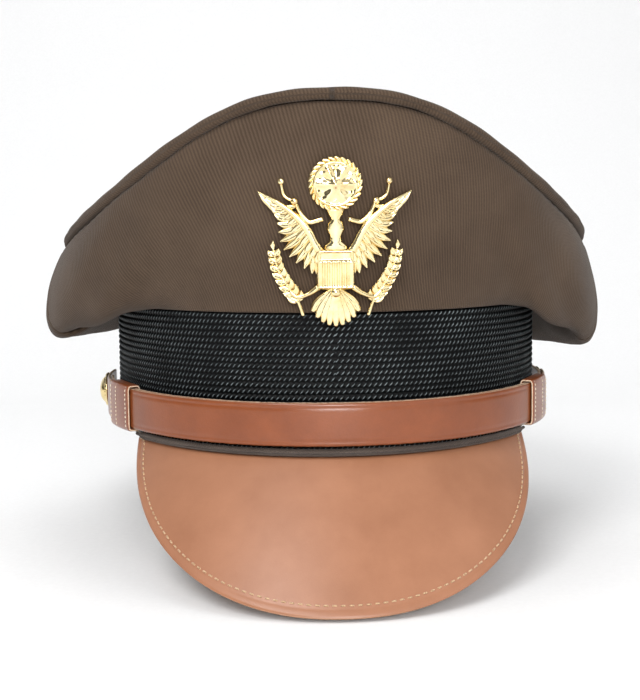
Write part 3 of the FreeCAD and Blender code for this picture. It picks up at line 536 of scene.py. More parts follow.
def side(angle, share):
    """The crown's side, from the band (share 0) up to the rim (share 1)."""
    a = np.radians(angle)
    out = np.stack([np.sin(a), -np.cos(a), 0 * a], -1)
    hang = (1 - share_of_front(angle, LOBE_ANGLE, LOBE_POWER))[..., None]
    drop = (LOBE_DROP + LOBE_SKEW * np.sin(a))[..., None] * np.array([0, 0, 1.0])
    wide = (LOBE_OUT - LOBE_SPREAD * np.sin(a))[..., None]
    foot = oval(angle, BRAID_FACE + CROWN_OVERHANG) + [0, 0, BAND_TOP + CROWN_GAP]
    top = rim(angle)
    upright = (top - foot)[..., 2:] * np.array([0, 0, 1.0]) / 3
    first = foot + (out * wide - drop) * hang + (upright + out * 2.0) * (1 - hang)
    second = top + (out * (0.6 * wide) - 0.9 * drop) * hang - (upright - out) * (1 - hang)
    t = share[..., None]
    return foot * (1 - t) ** 3 + first * (3 * t * (1 - t) ** 2) + second * (3 * t * t * (1 - t)) + top * t**3


def groove(angle, share, start, end, width, depth):
    """Soft valley in the crown's side along a line between two (angle, share) points. Lengths in mm."""
    per_degree, per_share = 1.9, SIDE_RUN
    p = np.stack([angle * per_degree, share * per_share], -1)
    a = np.array([start[0] * per_degree, start[1] * per_share])
    b = np.array([end[0] * per_degree, end[1] * per_share])
    along = np.clip(((p - a) @ (b - a)) / np.sum((b - a) ** 2), 0, 1)
    away = np.linalg.norm(p - a - along[..., None] * (b - a), axis=-1)
    fade = 1 - 0.75 * along
    return -depth * fade * np.exp(-((away / width) ** 2))


RIPPLE_WAVES = 7


def ripple(x, y, cells, seed, strength):
    """Smooth uneven relief, from a few waves of random direction."""
    local = np.random.default_rng(seed)
    total = np.zeros_like(x)
    for _ in range(RIPPLE_WAVES):
        turn, phase = local.uniform(0, 2 * math.pi, 2)
        size = cells * local.uniform(0.6, 1.6)
        total += np.sin(2 * math.pi * (x * math.cos(turn) + y * math.sin(turn)) / size + phase)
    return strength * total / RIPPLE_WAVES


# (start, end, width, depth) of the hollows that the cloth's weight draws from the band up to the rim
HOLLOWS = [
    ((-84, 0.05), (-46, 0.72), 11.0, 3.2),
    ((84, 0.02), (50, 0.62), 11.0, 4.6),
    ((-62, 0.02), (-38, 0.45), 8.0, 1.4),
    ((60, 0.02), (34, 0.50), 8.0, 2.0),
    ((130, 0.10), (118, 0.80), 12.0, 2.4),
    ((232, 0.10), (246, 0.80), 12.0, 2.4),
    ((180, 0.05), (180, 0.70), 14.0, 1.8),
]
SIDE_TOP = 1 - (ROLL + 0.4) / 80.0


def crown_panel(name, node, low, high, columns):
    """One side panel of the crown, with its hollows, its puckered seams and its turned-in edges."""
    angle, share = np.meshgrid(np.linspace(low, high, columns), np.linspace(0, SIDE_TOP, 90), indexing="ij")
    flat = side(angle, share)
    along = run_length(side(np.linspace(low, high, columns), np.full(columns, 0.5)))
    up = share * SIDE_RUN
    normal = grid_normals(flat)
    shift = sum(groove(angle, share, *hollow) for hollow in HOLLOWS)
    shift = shift + ripple(along[:, None] + 0 * up, up, 34.0, 3, 0.35)
    shift = shift + ripple(along[:, None] + 0 * up, up, 11.0, 5, 0.08)
    edge = np.minimum(along, along[-1] - along)[:, None] + 0 * up
    shift = shift - 0.9 * np.exp(-((edge / 1.3) ** 2)) + 0.25 * np.exp(-(((edge - 3.2) / 1.6) ** 2))
    pucker = 0.5 + 0.5 * np.sin(2 * math.pi * along / 7.3)[:, None]
    below_roll = (SIDE_TOP - share) * SIDE_RUN
    shift = shift - (0.7 + 0.25 * pucker) * np.exp(-((below_roll / 1.8) ** 2))
    keep_off = np.clip(up / 6.0, 0, 1)
    outer = flat + normal * (shift * keep_off)[..., None]
    inner = outer - normal * CLOTH
    uv = np.stack([along[:, None] + 0 * up, up], -1)
    return place(sheet_between(name, outer, inner, uv=uv), CROWN, slot="crown_cloth", stands_for=[node])


SEAM_ROOM = 0.08
crown_panel("crown_front_cloth", "crown_front_panel", -SEAM_ANGLE, SEAM_ANGLE, 260)
crown_panel("crown_back_right_cloth", "crown_back_right_panel", SEAM_ANGLE + SEAM_ROOM, 180 - SEAM_ROOM, 180)
left_end = 360 - SEAM_ANGLE - SEAM_ROOM
crown_panel("crown_back_left_cloth", "crown_back_left_panel", 180 + SEAM_ROOM, left_end, 180)


def crown_top_cloth():
    """Top panel: held up in front by the stay, slack over the head, and drawn tight to the rolled edge."""
    angle, share = np.meshgrid(np.arange(0, 360, 1.5), np.linspace(0, 1, 70), indexing="ij")
    edge = rim(angle, 0.8 * ROLL)
    centre = np.array([0, 0, RIM_CENTRE])
    points = centre + (edge - centre) * share[..., None]
    points[..., 2] = RIM_CENTRE + (edge[..., 2] - RIM_CENTRE) * share**2
    slack = 1.6 * np.sin(math.pi * share) * share
    folds = ripple(points[..., 0], points[..., 1], 60.0, 11, 1.6) * np.sin(math.pi * share)
    tucked = 1.3 * np.exp(-(((1 - share) * 100 / 2.5) ** 2))
    points[..., 2] += folds - slack + tucked
    inner = points - [0, 0, CLOTH]
    obj = sheet_between("crown_top_cloth", points, inner, wrap_rows=True, uv=points[..., :2])
    bpy.context.view_layer.objects.active = obj
    weld = obj.modifiers.new("weld", "WELD")
    weld.merge_threshold = 0.05 * MM
    bpy.ops.object.modifier_apply(modifier="weld")
    return place(obj, CROWN, slot="crown_cloth", stands_for=["crown_top"])


crown_top_cloth()
roll_angles = np.arange(0, 360, 1.0)
roll_turn = np.radians(roll_angles)
roll_radius = ROLL * (1 + 0.04 * np.sin(roll_turn * 41) + 0.03 * np.sin(roll_turn * 17))
roll = tube_along("crown_rolled_edge", rim(roll_angles), roll_radius, sides=20, closed=True)
place(roll, CROWN, slot="crown_cloth", stands_for=["crown_welt"])

# ---------------------------------------------------------------- band

ROWS = 22                                   # rows of braid
STITCH = 2.0                                # length of one braid stitch


def even_angles(grow, count):
    """Oval angles that are evenly spaced by arc length."""
    dense = np.linspace(0, 360, 7201)
    run = run_length(oval(dense, grow))
    return np.interp(np.linspace(0, run[-1], count, endpoint=False), run, dense), run[-1]


def mohair_braid():
    """Flat braid wound round the frame: rows of round cord, each with slanting strands on its face."""
    per_stitch, per_row = 6, 7
    _, around = even_angles(BRAID_FACE, 10)
    stitches_round = int(round(around / STITCH))
    columns = stitches_round * per_stitch
    angle, _ = even_angles(BRAID_FACE, columns)
    row_height = (BAND_TOP - BAND_HEM) / ROWS
    level = (np.arange(ROWS * per_row) + 0.5) / per_row
    row = np.floor(level)
    w = level - row - 0.5
    turns = np.arange(columns)[:, None] / per_stitch
    cord = np.sqrt(np.clip(1 - (2 * w) ** 2, 0, 1))[None, :]
    uneven = 0.22 * np.sin(row * 12.9 + 0.13 * turns) + 0.05 * np.sin(turns * 0.9 + row * 5)
    phase = turns - 0.95 * w[None, :] + 0.5 * (row % 2)[None, :] + uneven
    strand = 0.5 + 0.5 * np.cos(2 * math.pi * phase)
    height = 0.95 * cord + 0.42 * strand * cord
    out = oval_outward(angle, BRAID_FACE)[:, None]
    face = oval(angle, BRAID_FACE)[:, None] + out * (height - 1.37)[..., None]
    z = BAND_HEM + (level * row_height)[None, :] + 0.12 * np.sin(turns * 0.06 + row * 0.8)
    face = face + z[..., None] * np.array([0, 0, 1.0])
    back = oval(angle, BRAID_FACE - 2.15)[:, None]
    bottom = back + [0, 0, BAND_HEM]
    top = back + [0, 0, BAND_TOP]
    grid = np.concatenate([bottom, face, top], axis=1)
    obj = make_mesh("mohair_braid", grid.reshape(-1, 3), quads(*grid.shape[:2], True, True, flip=False))
    # tone: painted highlight on each strand's top, painted shade down into the grooves between rows
    tone = np.pad(cord * strand**1.5, ((0, 0), (1, 1)))
    set_painted_light(obj, tone)
    return place(obj, BRAID_MAT, slot="braid", stands_for=["mohair_band"])


mohair_braid()

# ---------------------------------------------------------------- visor


def edge_material(obj, rows, columns, material):
    """Second material on the walls of a sheet_between piece that isn't a ring."""
    obj.data.materials.append(material)
    index = np.zeros(len(obj.data.polygons), int)
    index[2 * (rows - 1) * (columns - 1):] = 1
    obj.data.polygons.foreach_set("material_index", index)
    return obj


VISOR_ROOT = BRAID_FACE + 0.4
corner = math.degrees(math.asin(VISOR_HALF_WIDTH / (HEAD[0] + VISOR_ROOT))) - 0.15
visor_angles = np.linspace(-corner, corner, 301)


def visor_drop(angle, inset=0.0):
    """How far below the band the visor's edge is, on the cone's line at each angle."""
    low, high = np.full_like(angle, 0.05), np.full_like(angle, 1.5 * VISOR_DROP)
    for _ in range(40):
        middle = (low + high) / 2
        wide = (HEAD[0] + VISOR_ROOT + middle / math.tan(VISOR_SLOPE)) * np.abs(np.sin(np.radians(angle)))
        inside = (wide / (VISOR_HALF_WIDTH - inset)) ** VISOR_FULLNESS
        inside = inside + (middle / (VISOR_DROP - inset)) ** VISOR_FULLNESS < 1
        low, high = np.where(inside, middle, low), np.where(inside, high, middle)
    return low


def visor_points(angle, drop, depth=0.0):
    """Points depth below the visor's upper face."""
    run = drop / math.tan(VISOR_SLOPE)
    base = oval(angle, VISOR_ROOT + run)
    base[..., 2] = -0.1 - drop
    out = oval_outward(angle + 0 * drop, VISOR_ROOT)
    normal = out * math.sin(VISOR_SLOPE) + np.array([0, 0, math.cos(VISOR_SLOPE)])
    return base - normal * np.asarray(depth)[..., None], normal


def visor_sheet(name, top_depth, wall, inset, material, edge, slot, node, bow=0.0, pinch=0.0):
    """One leather of the visor. pinch lifts it towards the upper leather along the sewn edge."""
    shares = 1 - (1 - np.linspace(0, 1, 90)) ** 1.5
    angle, share = np.meshgrid(visor_angles, shares, indexing="ij")
    edge_drop = visor_drop(visor_angles, inset)[:, None]
    drop = share * edge_drop
    slope_left = (edge_drop - drop) / math.sin(VISOR_SLOPE)
    rise = bow * np.sin(math.pi * np.clip(drop / VISOR_DROP, 0, 1)) * np.cos(np.radians(angle)) ** 2
    rounding = 0.3 * np.exp(-((slope_left / 0.5) ** 2))
    lift = pinch * np.exp(-((slope_left / 4.5) ** 2))
    sewn = 0.14 * np.exp(-(((slope_left - 3.2) / 0.8) ** 2))
    outer, normal = visor_points(angle, drop, top_depth - rise - lift + rounding + sewn)
    inner = outer - normal * (wall - 2 * rounding)[..., None]
    obj = sheet_between(name, outer, inner, uv=outer[..., [0, 1]])
    place(obj, material, slot=slot, stands_for=[node])
    return edge_material(obj, *outer.shape[:2], edge)


BOW = 0.8                                   # how far the leathers are arched outwards
UPPER_WALL, LOWER_DEPTH, LOWER_WALL, LOWER_INSET = 1.3, 2.55, 1.0, 0.3
EDGE_ROW, EDGE_PITCH, EDGE_THREAD = 3.2, 2.9, 0.62
visor_sheet("visor_upper_leather", 0.0, UPPER_WALL, 0.0, VISOR, VISOR_EDGE, "visor_leather", "visor_top", BOW)
visor_sheet(
    "visor_lower_leather", LOWER_DEPTH, LOWER_WALL, LOWER_INSET, UNDERSIDE, VISOR_EDGE,
    "visor_leather", "visor_lining", BOW * 0.5, pinch=1.2,
)


def visor_line(from_edge, depth):
    """Path on the visor's upper face that keeps its distance from the edge."""
    span = np.linspace(-corner + 1.2, corner - 1.2, 400)
    drop = np.maximum(visor_drop(span, from_edge * 1.05), 0.3)
    rise = BOW * np.sin(math.pi * np.clip(drop / VISOR_DROP, 0, 1)) * np.cos(np.radians(span)) ** 2
    return visor_points(span, drop, depth - rise)


path, outward = visor_line(EDGE_ROW, 0.0)
visor_thread = stitches("visor_edge_stitches", path, outward, EDGE_PITCH, EDGE_THREAD, lift=0.16)
place(visor_thread, TAN_THREAD, slot="visor_leather")
path, outward = visor_line(EDGE_ROW, 3.4)
under_thread = stitches("visor_underside_stitches", path, -outward, EDGE_PITCH, EDGE_THREAD, lift=0.2)
place(under_thread, TAN_THREAD, slot="visor_leather")

cord_span = np.linspace(-corner + 0.6, corner - 0.6, 240)
cord_path = oval(cord_span, BRAID_FACE + 1.5) + [0, 0, 1.5]
cord_fade = 1.4 * np.clip((corner - np.abs(cord_span)) / 4, 0.45, 1)
seam_cord = tube_along("visor_seam_cord", cord_path, cord_fade, sides=16)
place(seam_cord, PIPING, slot="cord_cloth", stands_for=["visor_cord"])

# ---------------------------------------------------------------- chin strap

STRAP_IN = BRAID_FACE + STRAP_GAP


def strap_frame(angle, grow):
    """Middle line of a strap, its outward direction, and the direction across its width."""
    level = oval(angle, grow)
    height = BUTTON_Z - level[..., 1] * math.tan(STRAP_RISE)
    middle = np.stack([level[..., 0], level[..., 1], height], -1)
    across = np.array([0, math.sin(-STRAP_RISE), math.cos(STRAP_RISE)])
    return middle, oval_outward(angle, grow), across


def strap_section(width, wall, crease=0.16):
    """Outline of a strap's section as (outward, across) points, and which of them are on the cut edge."""
    half, round_off = width / 2, 0.35
    face = np.array([0, 0.5, 1.2, 1.6, 2.0, 3.2, 5.0, width / 2])
    dip = np.array([round_off, 0.08, 0.02, crease, 0.02, 0, 0, 0])
    upper = [(wall - d, half - f) for f, d in zip(face, dip)]
    lower = [(wall - d, -(half - f)) for f, d in zip(face[::-1][1:], dip[::-1][1:])]
    back = [(0.25, -half - 0.02), (0, -half + 0.4), (0, 0), (0, half - 0.4), (0.25, half + 0.02)]
    outline = np.array(upper + lower + back)
    count = len(upper) + len(lower)
    cut = np.zeros(len(outline), bool)
    cut[count - 1:count + 1] = True
    cut[-2:] = True
    return outline, cut


def strap_piece(name, node, low, high, grow, seed):
    """Strap of leather: polished face with creased borders, and pale cut edges."""
    count = 420
    angle = np.linspace(low, high, count)
    middle, out, across = strap_frame(angle, grow)
    run = run_length(middle)
    sway = ripple(run, 0 * run, 90.0, seed, 0.12)
    outline, cut = strap_section(STRAP_WIDTH, STRAP_WALL)
    local = np.random.default_rng(seed)
    ragged = local.normal(0, 0.035, (count, len(outline))) * cut[None, :]
    grid = middle[:, None] + out[:, None] * (outline[None, :, 0] + sway[:, None] * 0.3)[..., None]
    grid = grid + across * (outline[None, :, 1] + sway[:, None] + ragged)[..., None]
    points = grid.reshape(-1, 3)
    faces = quads(count, len(outline), wrap_columns=True).tolist()
    faces.append(list(range(len(outline))))
    faces.append(list(range((count - 1) * len(outline), count * len(outline)))[::-1])
    obj = make_mesh(name, points, faces)
    place(obj, STRAP, body="chin_strap", slot="strap_leather", stands_for=[node])
    obj.data.materials.append(EDGE)
    index = np.tile(cut.astype(int), count - 1).tolist() + [1, 1]
    obj.data.polygons.foreach_set("material_index", index)
    return obj


def angle_at(y, grow, side):
    """Oval angle where the strap reaches y, on the side -1 or 1."""
    return side * (180 - math.degrees(math.acos(np.clip(y / (HEAD[1] + grow), -1, 1))))


TAIL, FREE_END = 9.0, -12.0
outer_grow = STRAP_IN + STRAP_WALL + STRAP_PLAY
outer_ends = angle_at(TAIL, outer_grow, -1), angle_at(FREE_END, outer_grow, 1)
inner_ends = angle_at(FREE_END, STRAP_IN, -1), angle_at(TAIL, STRAP_IN, 1)
strap_piece("chin_strap_outer_leather", "chin_strap_outer", *outer_ends, outer_grow, 21)
strap_piece("chin_strap_inner_leather", "chin_strap_inner", *inner_ends, STRAP_IN, 22)

# keepers: loops of leather round both straps, in the place of their CAD solids
KEEPER_WALL, KEEPER_PLAY, KEEPER_LENGTH, KEEPER_ANGLE = 1.0, 0.45, 24.0, 62.0
KEEPER_GROW = STRAP_IN + STRAP_WALL + STRAP_PLAY / 2


def keeper_loop():
    """Closed outline of the loop's middle: (outward, across) points with rounded corners."""
    half_thick = STRAP_WALL + STRAP_PLAY / 2 + KEEPER_PLAY + KEEPER_WALL / 2
    half_tall = STRAP_WIDTH / 2 + KEEPER_PLAY + KEEPER_WALL / 2
    turn = np.linspace(0, 2 * math.pi, 72, endpoint=False)
    power = 0.32
    wide = half_thick * np.sign(np.cos(turn)) * np.abs(np.cos(turn)) ** power
    tall = half_tall * np.sign(np.sin(turn)) * np.abs(np.sin(turn)) ** (0.75 * power)
    return np.stack([wide, tall], -1)


def keeper_piece(side_name, side):
    """Keeper with its border stitched down, and a row of stitches where the loop is closed."""
    middle_angle = side * KEEPER_ANGLE
    span = math.degrees(KEEPER_LENGTH / (HEAD[1] + KEEPER_GROW)) / 2
    angle = middle_angle + side * np.linspace(-span, span, 44)
    middle, out, across = strap_frame(angle, KEEPER_GROW)
    loop = keeper_loop()
    direction = loop / np.linalg.norm(loop, axis=1, keepdims=True)
    normal2 = np.stack([np.gradient(loop[:, 1]), -np.gradient(loop[:, 0])], -1)
    normal2 /= np.maximum(np.linalg.norm(normal2, axis=1, keepdims=True), 1e-9)
    normal2 *= np.sign(np.sum(normal2 * direction, axis=1, keepdims=True))
    run = np.linspace(0, KEEPER_LENGTH, len(angle))
    border = np.minimum(run, KEEPER_LENGTH - run)
    swell = 0.12 * np.sin(math.pi * run / KEEPER_LENGTH) - 0.25 * np.exp(-((border / 0.4) ** 2))

    def skin(offset):
        """The loop's surface, offset from its middle."""
        flat = loop[:, None] + normal2[:, None] * (offset + swell * np.sign(offset))[None, :, None]
        return middle[None] + out[None] * flat[..., :1] + across * flat[..., 1:]

    outer, inner = skin(np.full(len(angle), KEEPER_WALL / 2)), skin(np.full(len(angle), -KEEPER_WALL / 2))
    body = "keeper_" + side_name
    flip = side < 0
    obj = sheet_between(body + "_leather", inner if flip else outer, outer if flip else inner, wrap_rows=True)
    place(obj, STRAP, body=body, slot="strap_leather", stands_for=[body])
    obj.data.materials.append(EDGE)
    index = np.zeros(len(obj.data.polygons), int)
    index[2 * len(loop) * (len(angle) - 1):] = 1
    obj.data.polygons.foreach_set("material_index", index)
    front = (loop[:, 0] > 0.6 * loop[:, 0].max()).nonzero()[0]
    order = front[np.argsort(loop[front, 1])]
    for label, column in (("border", 4), ("closing", 24), ("rear", 39)):
        line = outer[order, column]
        thread_piece = stitches(f"{body}_{label}_stitches", line, out[column], 1.7, 0.42, lift=0.12)
        place(thread_piece, CREAM_THREAD, body=body, slot="strap_leather")


keeper_piece("right", 1)
keeper_piece("left", -1)

# ---------------------------------------------------------------- side buttons


def lathe(name, profile, axis_start, axis, sides=64):
    """Turned piece. profile is (along the axis, radius) points."""
    axis = Vector(axis).normalized()
    across = axis.orthogonal().normalized()
    up = axis.cross(across)
    turn = np.linspace(0, 2 * math.pi, sides, endpoint=False)
    ring = np.outer(np.cos(turn), across) + np.outer(np.sin(turn), up)
    profile = np.asarray(profile, float)
    along = profile[:, 0][:, None, None] * np.array(axis)
    grid = np.asarray(axis_start) + along + profile[:, 1][:, None, None] * ring
    return make_mesh(name, grid.reshape(-1, 3), quads(len(profile), sides, wrap_columns=True))


def arc(centre, radius, start, end, count):
    """Points of an elliptic arc in a turned piece's profile, angles in degrees."""
    turn = np.radians(np.linspace(start, end, count))
    return np.stack([centre[0] + radius[0] * np.sin(turn), centre[1] + radius[1] * np.cos(turn)], -1)


def side_button(side_name, side):
    """Gilt button: rolled rim with a rope edge, a plain dome, a back plate and a screw shank."""
    node = "side_button_" + side_name
    low, high = box_mm(node)
    seat_x = (high[0] if side > 0 else -low[0]) - BUTTON_PLATE - BUTTON_DOME
    inner_x = low[0] if side > 0 else -high[0]
    radius = (high[2] - low[2]) / 2
    profile = [(inner_x - seat_x, 0.01), (inner_x - seat_x, 1.9)]
    for k in range(12):
        profile += [(inner_x - seat_x + 0.3 + 0.3 * k, 1.95 - 0.18 * (k % 2))]
    profile += [(-0.02, 1.95), (0.0, radius - 0.5)]
    profile += arc((0.6, radius - 0.6), (0.6, 0.6), -90, 90, 10).tolist()
    profile += [(1.0, radius - 1.3)]
    profile += arc((1.0, 0), (3.3, radius - 1.5), 0, 90, 16).tolist()
    profile[-1] = (profile[-1][0], 0.01)
    button = lathe(node + "_shell", profile, (side * seat_x, 0, BUTTON_Z), (side, 0, 0))
    turn = np.linspace(0, 2 * math.pi, 24 * 8, endpoint=False)
    rope_x, rope_radius = side * (seat_x + 1.1) + 0 * turn, radius - 0.75
    rope = np.stack([rope_x, rope_radius * np.cos(turn), rope_radius * np.sin(turn)], -1)
    bead = 0.34 * (1 + 0.35 * np.sin(turn * 24))
    rope = tube_along(node + "_rope", rope + [0, 0, BUTTON_Z], bead, sides=10, closed=True, uv=False)
    button = joined(node + "_gilt", [button, rope])
    place(button, GILT, body="button_" + side_name, slot="brass_gilt", stands_for=[node])


side_button("right", 1)
side_button("left", -1)

# ---------------------------------------------------------------- badge

# The badge is drawn on a plane: x to the side, h up from its lowest point, and depth out from its back.
BADGE_FOOT = 47.5
BADGE_TALL = 60.3
BADGE_CURVE = 92.0
BADGE_STANDOFF = 1.6
panel_foot, panel_top = side(np.array([0.0, 0.0]), np.array([0.0, 0.85]))
lean = math.atan2(panel_foot[1] - panel_top[1], panel_top[2] - panel_foot[2])
badge_up = np.array([0, -math.sin(lean), math.cos(lean)])
badge_out = np.array([0, -math.cos(lean), -math.sin(lean)])
badge_middle_z = BADGE_FOOT + BADGE_TALL / 2
badge_middle_y = panel_foot[1] - (badge_middle_z - panel_foot[2]) * math.tan(lean) - BADGE_STANDOFF
badge_middle = np.array([0, badge_middle_y, badge_middle_z])


def on_badge(points):
    """Turns (x, h, depth) points into points on the curved badge."""
    x, h, depth = np.moveaxis(np.asarray(points, float), -1, 0)
    sag = BADGE_CURVE - np.sqrt(BADGE_CURVE**2 - x**2)
    along = (h - BADGE_TALL / 2) / math.cos(lean)
    return (
        badge_middle
        + x[..., None] * np.array([1.0, 0, 0])
        + along[..., None] * badge_up
        + (depth - sag)[..., None] * badge_out
    )


def smooth_path(points, count):
    """Evenly parted curve through a few (x, h) points."""
    points = np.asarray(points, float)
    knots = run_length(np.pad(points, ((0, 0), (0, 1))))
    at = np.linspace(0, knots[-1], count)
    ends = np.concatenate([[2 * points[0] - points[1]], points, [2 * points[-1] - points[-2]]])
    found = []
    for t in at:
        k = int(np.clip(np.searchsorted(knots, t, "right") - 1, 0, len(points) - 2))
        u = (t - knots[k]) / (knots[k + 1] - knots[k])
        a, b, c, d = ends[k:k + 4]
        point = 2 * b + (c - a) * u
        point = point + (2 * a - 5 * b + 4 * c - d) * u**2
        point = point + (3 * b - a - 3 * c + d) * u**3
        found.append(0.5 * point)
    return np.array(found)


def blade(path, widths, base, rise, vane=0.0, across=9):
    """Struck leaf or feather along a path: rounded across, thin at its edges, with a midrib if vane > 0."""
    path = np.asarray(path, float)
    count = len(path)
    ahead = np.gradient(path, axis=0)
    ahead /= np.linalg.norm(ahead, axis=1, keepdims=True)
    aside = np.stack([-ahead[:, 1], ahead[:, 0]], -1)
    widths = np.interp(np.linspace(0, 1, count), np.linspace(0, 1, len(widths)), widths)
    c = np.linspace(-1, 1, across)
    flat = path[:, None] + aside[:, None] * (widths[:, None] * c[None, :])[..., None]
    depth = base + rise * np.sqrt(np.clip(1 - c**2, 0, 1)) - vane * np.exp(-((c / 0.16) ** 2))
    depth = np.broadcast_to(depth, (count, across)).copy()
    if vane:
        barbs = 0.5 + 0.5 * np.cos(np.linspace(0, 1, count) * count * 0.9)[:, None] - 1.0
        depth += 0.25 * vane * barbs * (1 - np.abs(c))[None, :]
    grid = np.concatenate([flat, depth[..., None]], -1)
    left, right = grid[:, :1].copy(), grid[:, -1:].copy()
    left[..., 2], right[..., 2] = 0.1, 0.1
    grid = np.concatenate([left, grid, right], axis=1)
    rows, columns = grid.shape[:2]
    faces = quads(rows, columns, wrap_columns=True).tolist()
    faces.append(list(range(columns)))
    faces.append(list(range((rows - 1) * columns, rows * columns))[::-1])
    return on_badge(grid).reshape(-1, 3), faces


def badge_piece(name, blades):
    """One gilt piece from several struck shapes."""
    points, faces, start = [], [], 0
    for some_points, some_faces in blades:
        points.append(some_points)
        faces += [[start + k for k in face] for face in some_faces]
        start += len(some_points)
    obj = make_mesh(name, np.concatenate(points), faces)
    bpy.context.view_layer.objects.active = obj
    obj.select_set(True)
    bpy.ops.object.mode_set(mode="EDIT")
    bpy.ops.mesh.select_all(action="SELECT")
    bpy.ops.mesh.normals_make_consistent(inside=False)
    bpy.ops.object.mode_set(mode="OBJECT")
    obj.select_set(False)
    return place(obj, GILT, slot="brass_gilt", stands_for=["cap_badge"])


def mirror(points, side):
    """The points as they are for side 1, and mirrored for side -1."""
    return np.asarray(points, float) * [side, 1]


# control points of the ornament, x and h in millimetres, for the side at +X
WING_INNER = [(5.8, 27.0), (7.6, 30.0), (9.6, 34.0), (13.4, 38.6), (19.4, 43.4), (26.6, 47.4)]
WING_OUTER = [(6.4, 18.0), (9.6, 19.8), (15.4, 24.0), (19.2, 29.2), (20.6, 37.0), (22.8, 42.4), (26.9, 47.6)]
SPRIG_STEM = [(11.6, 3.9), (13.6, 9.4), (17.2, 14.6), (20.4, 20.4), (22.0, 27.4)]
ARM = [(6.2, 14.2), (9.4, 12.0), (13.6, 10.6), (16.4, 12.8)]
CURL = [(4.6, 38.2), (9.2, 37.2), (12.4, 40.4), (14.2, 44.0), (17.8, 46.2), (19.0, 50.4)]


def wing(side):
    """Spread leaf-like blades in two rows under a rolled upper edge."""
    inner, outer = smooth_path(WING_INNER, 60), smooth_path(WING_OUTER, 60)
    shapes = []
    feathers = 13
    for k in range(feathers):
        share = k / (feathers - 1)
        tip = outer[int(59 * share)]
        root = inner[int(59 * 0.66 * share)]
        bend = 0.5 * (root + tip) + np.array([0.6, -0.9]) * (0.4 + share)
        path = smooth_path(mirror([root, bend, tip], side), 22)
        shapes.append(blade(path, [0.75, 1.35, 1.45, 1.25, 0.35], 1.0 + 0.04 * k, 0.85, vane=0.35))
    coverts = 10
    for k in range(coverts):
        share = k / (coverts - 1)
        root = inner[int(59 * 0.72 * share)]
        tip = root + 0.5 * (outer[int(59 * (0.05 + 0.8 * share))] - root)
        path = smooth_path(mirror([root, 0.5 * (root + tip) + [0.3, -0.4], tip], side), 14)
        shapes.append(blade(path, [0.9, 1.35, 1.3, 0.5], 1.7, 0.8, vane=0.25))
    shapes.append(blade(mirror(inner, side), [1.5, 1.35, 1.1, 0.9, 0.35], 2.0, 0.9))
    return shapes


def sprig(side):
    """Sprig: a stem with pairs of leaves, held at its foot by an arm."""
    stem = smooth_path(SPRIG_STEM, 50)
    shapes = [blade(mirror(stem, side), [0.7, 0.6, 0.5, 0.4], 1.2, 0.7)]
    shapes.append(blade(mirror(smooth_path(ARM, 24), side), [1.2, 0.9, 0.9, 0.7], 1.3, 0.9))
    for k in range(8):
        at = 10 + 5 * k
        root = stem[min(at, 49)]
        ahead = stem[min(at + 1, 49)] - stem[min(at + 1, 49) - 1]
        ahead /= np.linalg.norm(ahead)
        aside = np.array([-ahead[1], ahead[0]])
        for turn in (-1, 1):
            size = 4.6 - 0.22 * k
            tip = root + size * (0.72 * ahead + 0.62 * turn * aside)
            bulge = 0.5 * (root + tip) + 0.5 * turn * aside
            path = smooth_path(mirror([root, bulge, tip], side), 14)
            shapes.append(blade(path, [0.3, 1.25, 1.35, 0.9, 0.12], 1.25 + 0.08 * (k % 3), 0.7, vane=0.3))
    top = stem[-1]
    bud = smooth_path(mirror([top, top + [0.2, 1.6], top + [0.0, 3.2]], side), 12)
    shapes.append(blade(bud, [0.4, 1.1, 0.1], 1.3, 0.7, 0.25))
    return shapes


def knob(x, h, radius, depth):
    """Ball on the badge."""
    around = np.linspace(0, 2 * math.pi, 20, endpoint=False)
    turn, lift = np.meshgrid(around, np.linspace(-1.5, 1.5, 12), indexing="ij")
    level = radius * np.cos(lift)
    ball = np.stack([x + level * np.cos(turn), h + level * np.sin(turn), depth + radius * np.sin(lift)], -1)
    return on_badge(ball).reshape(-1, 3), quads(20, 12, wrap_rows=True).tolist()


def curl(side):
    """Curled tendril with two knobs and two short leaves."""
    path = smooth_path(CURL, 40)
    shapes = [blade(mirror(path, side), [0.9, 1.0, 0.75, 0.7, 0.55], 1.2, 0.9)]
    shapes.append(knob(side * 19.0, 51.2, 1.25, 1.6))
    shapes.append(knob(side * 14.4, 44.4, 1.35, 1.6))
    for at, reach in ((12, 3.0), (22, 3.4)):
        root = path[at]
        leaf = smooth_path(mirror([root, root + [1.2, -0.9], root + [reach, -0.4]], side), 12)
        shapes.append(blade(leaf, [0.4, 0.95, 0.15], 1.1, 0.6, 0.2))
    return shapes


def rounded_plate(half_width, low, high, depth, bevel):
    """Plain plate with rolled borders, as a grid over x and h."""
    x, h = np.meshgrid(np.linspace(-half_width, half_width, 49), np.linspace(low, high, 49), indexing="ij")
    away = np.minimum(half_width - np.abs(x), np.minimum(h - low, high - h))
    return x, h, depth + bevel * np.clip(away / 0.8, 0, 1)


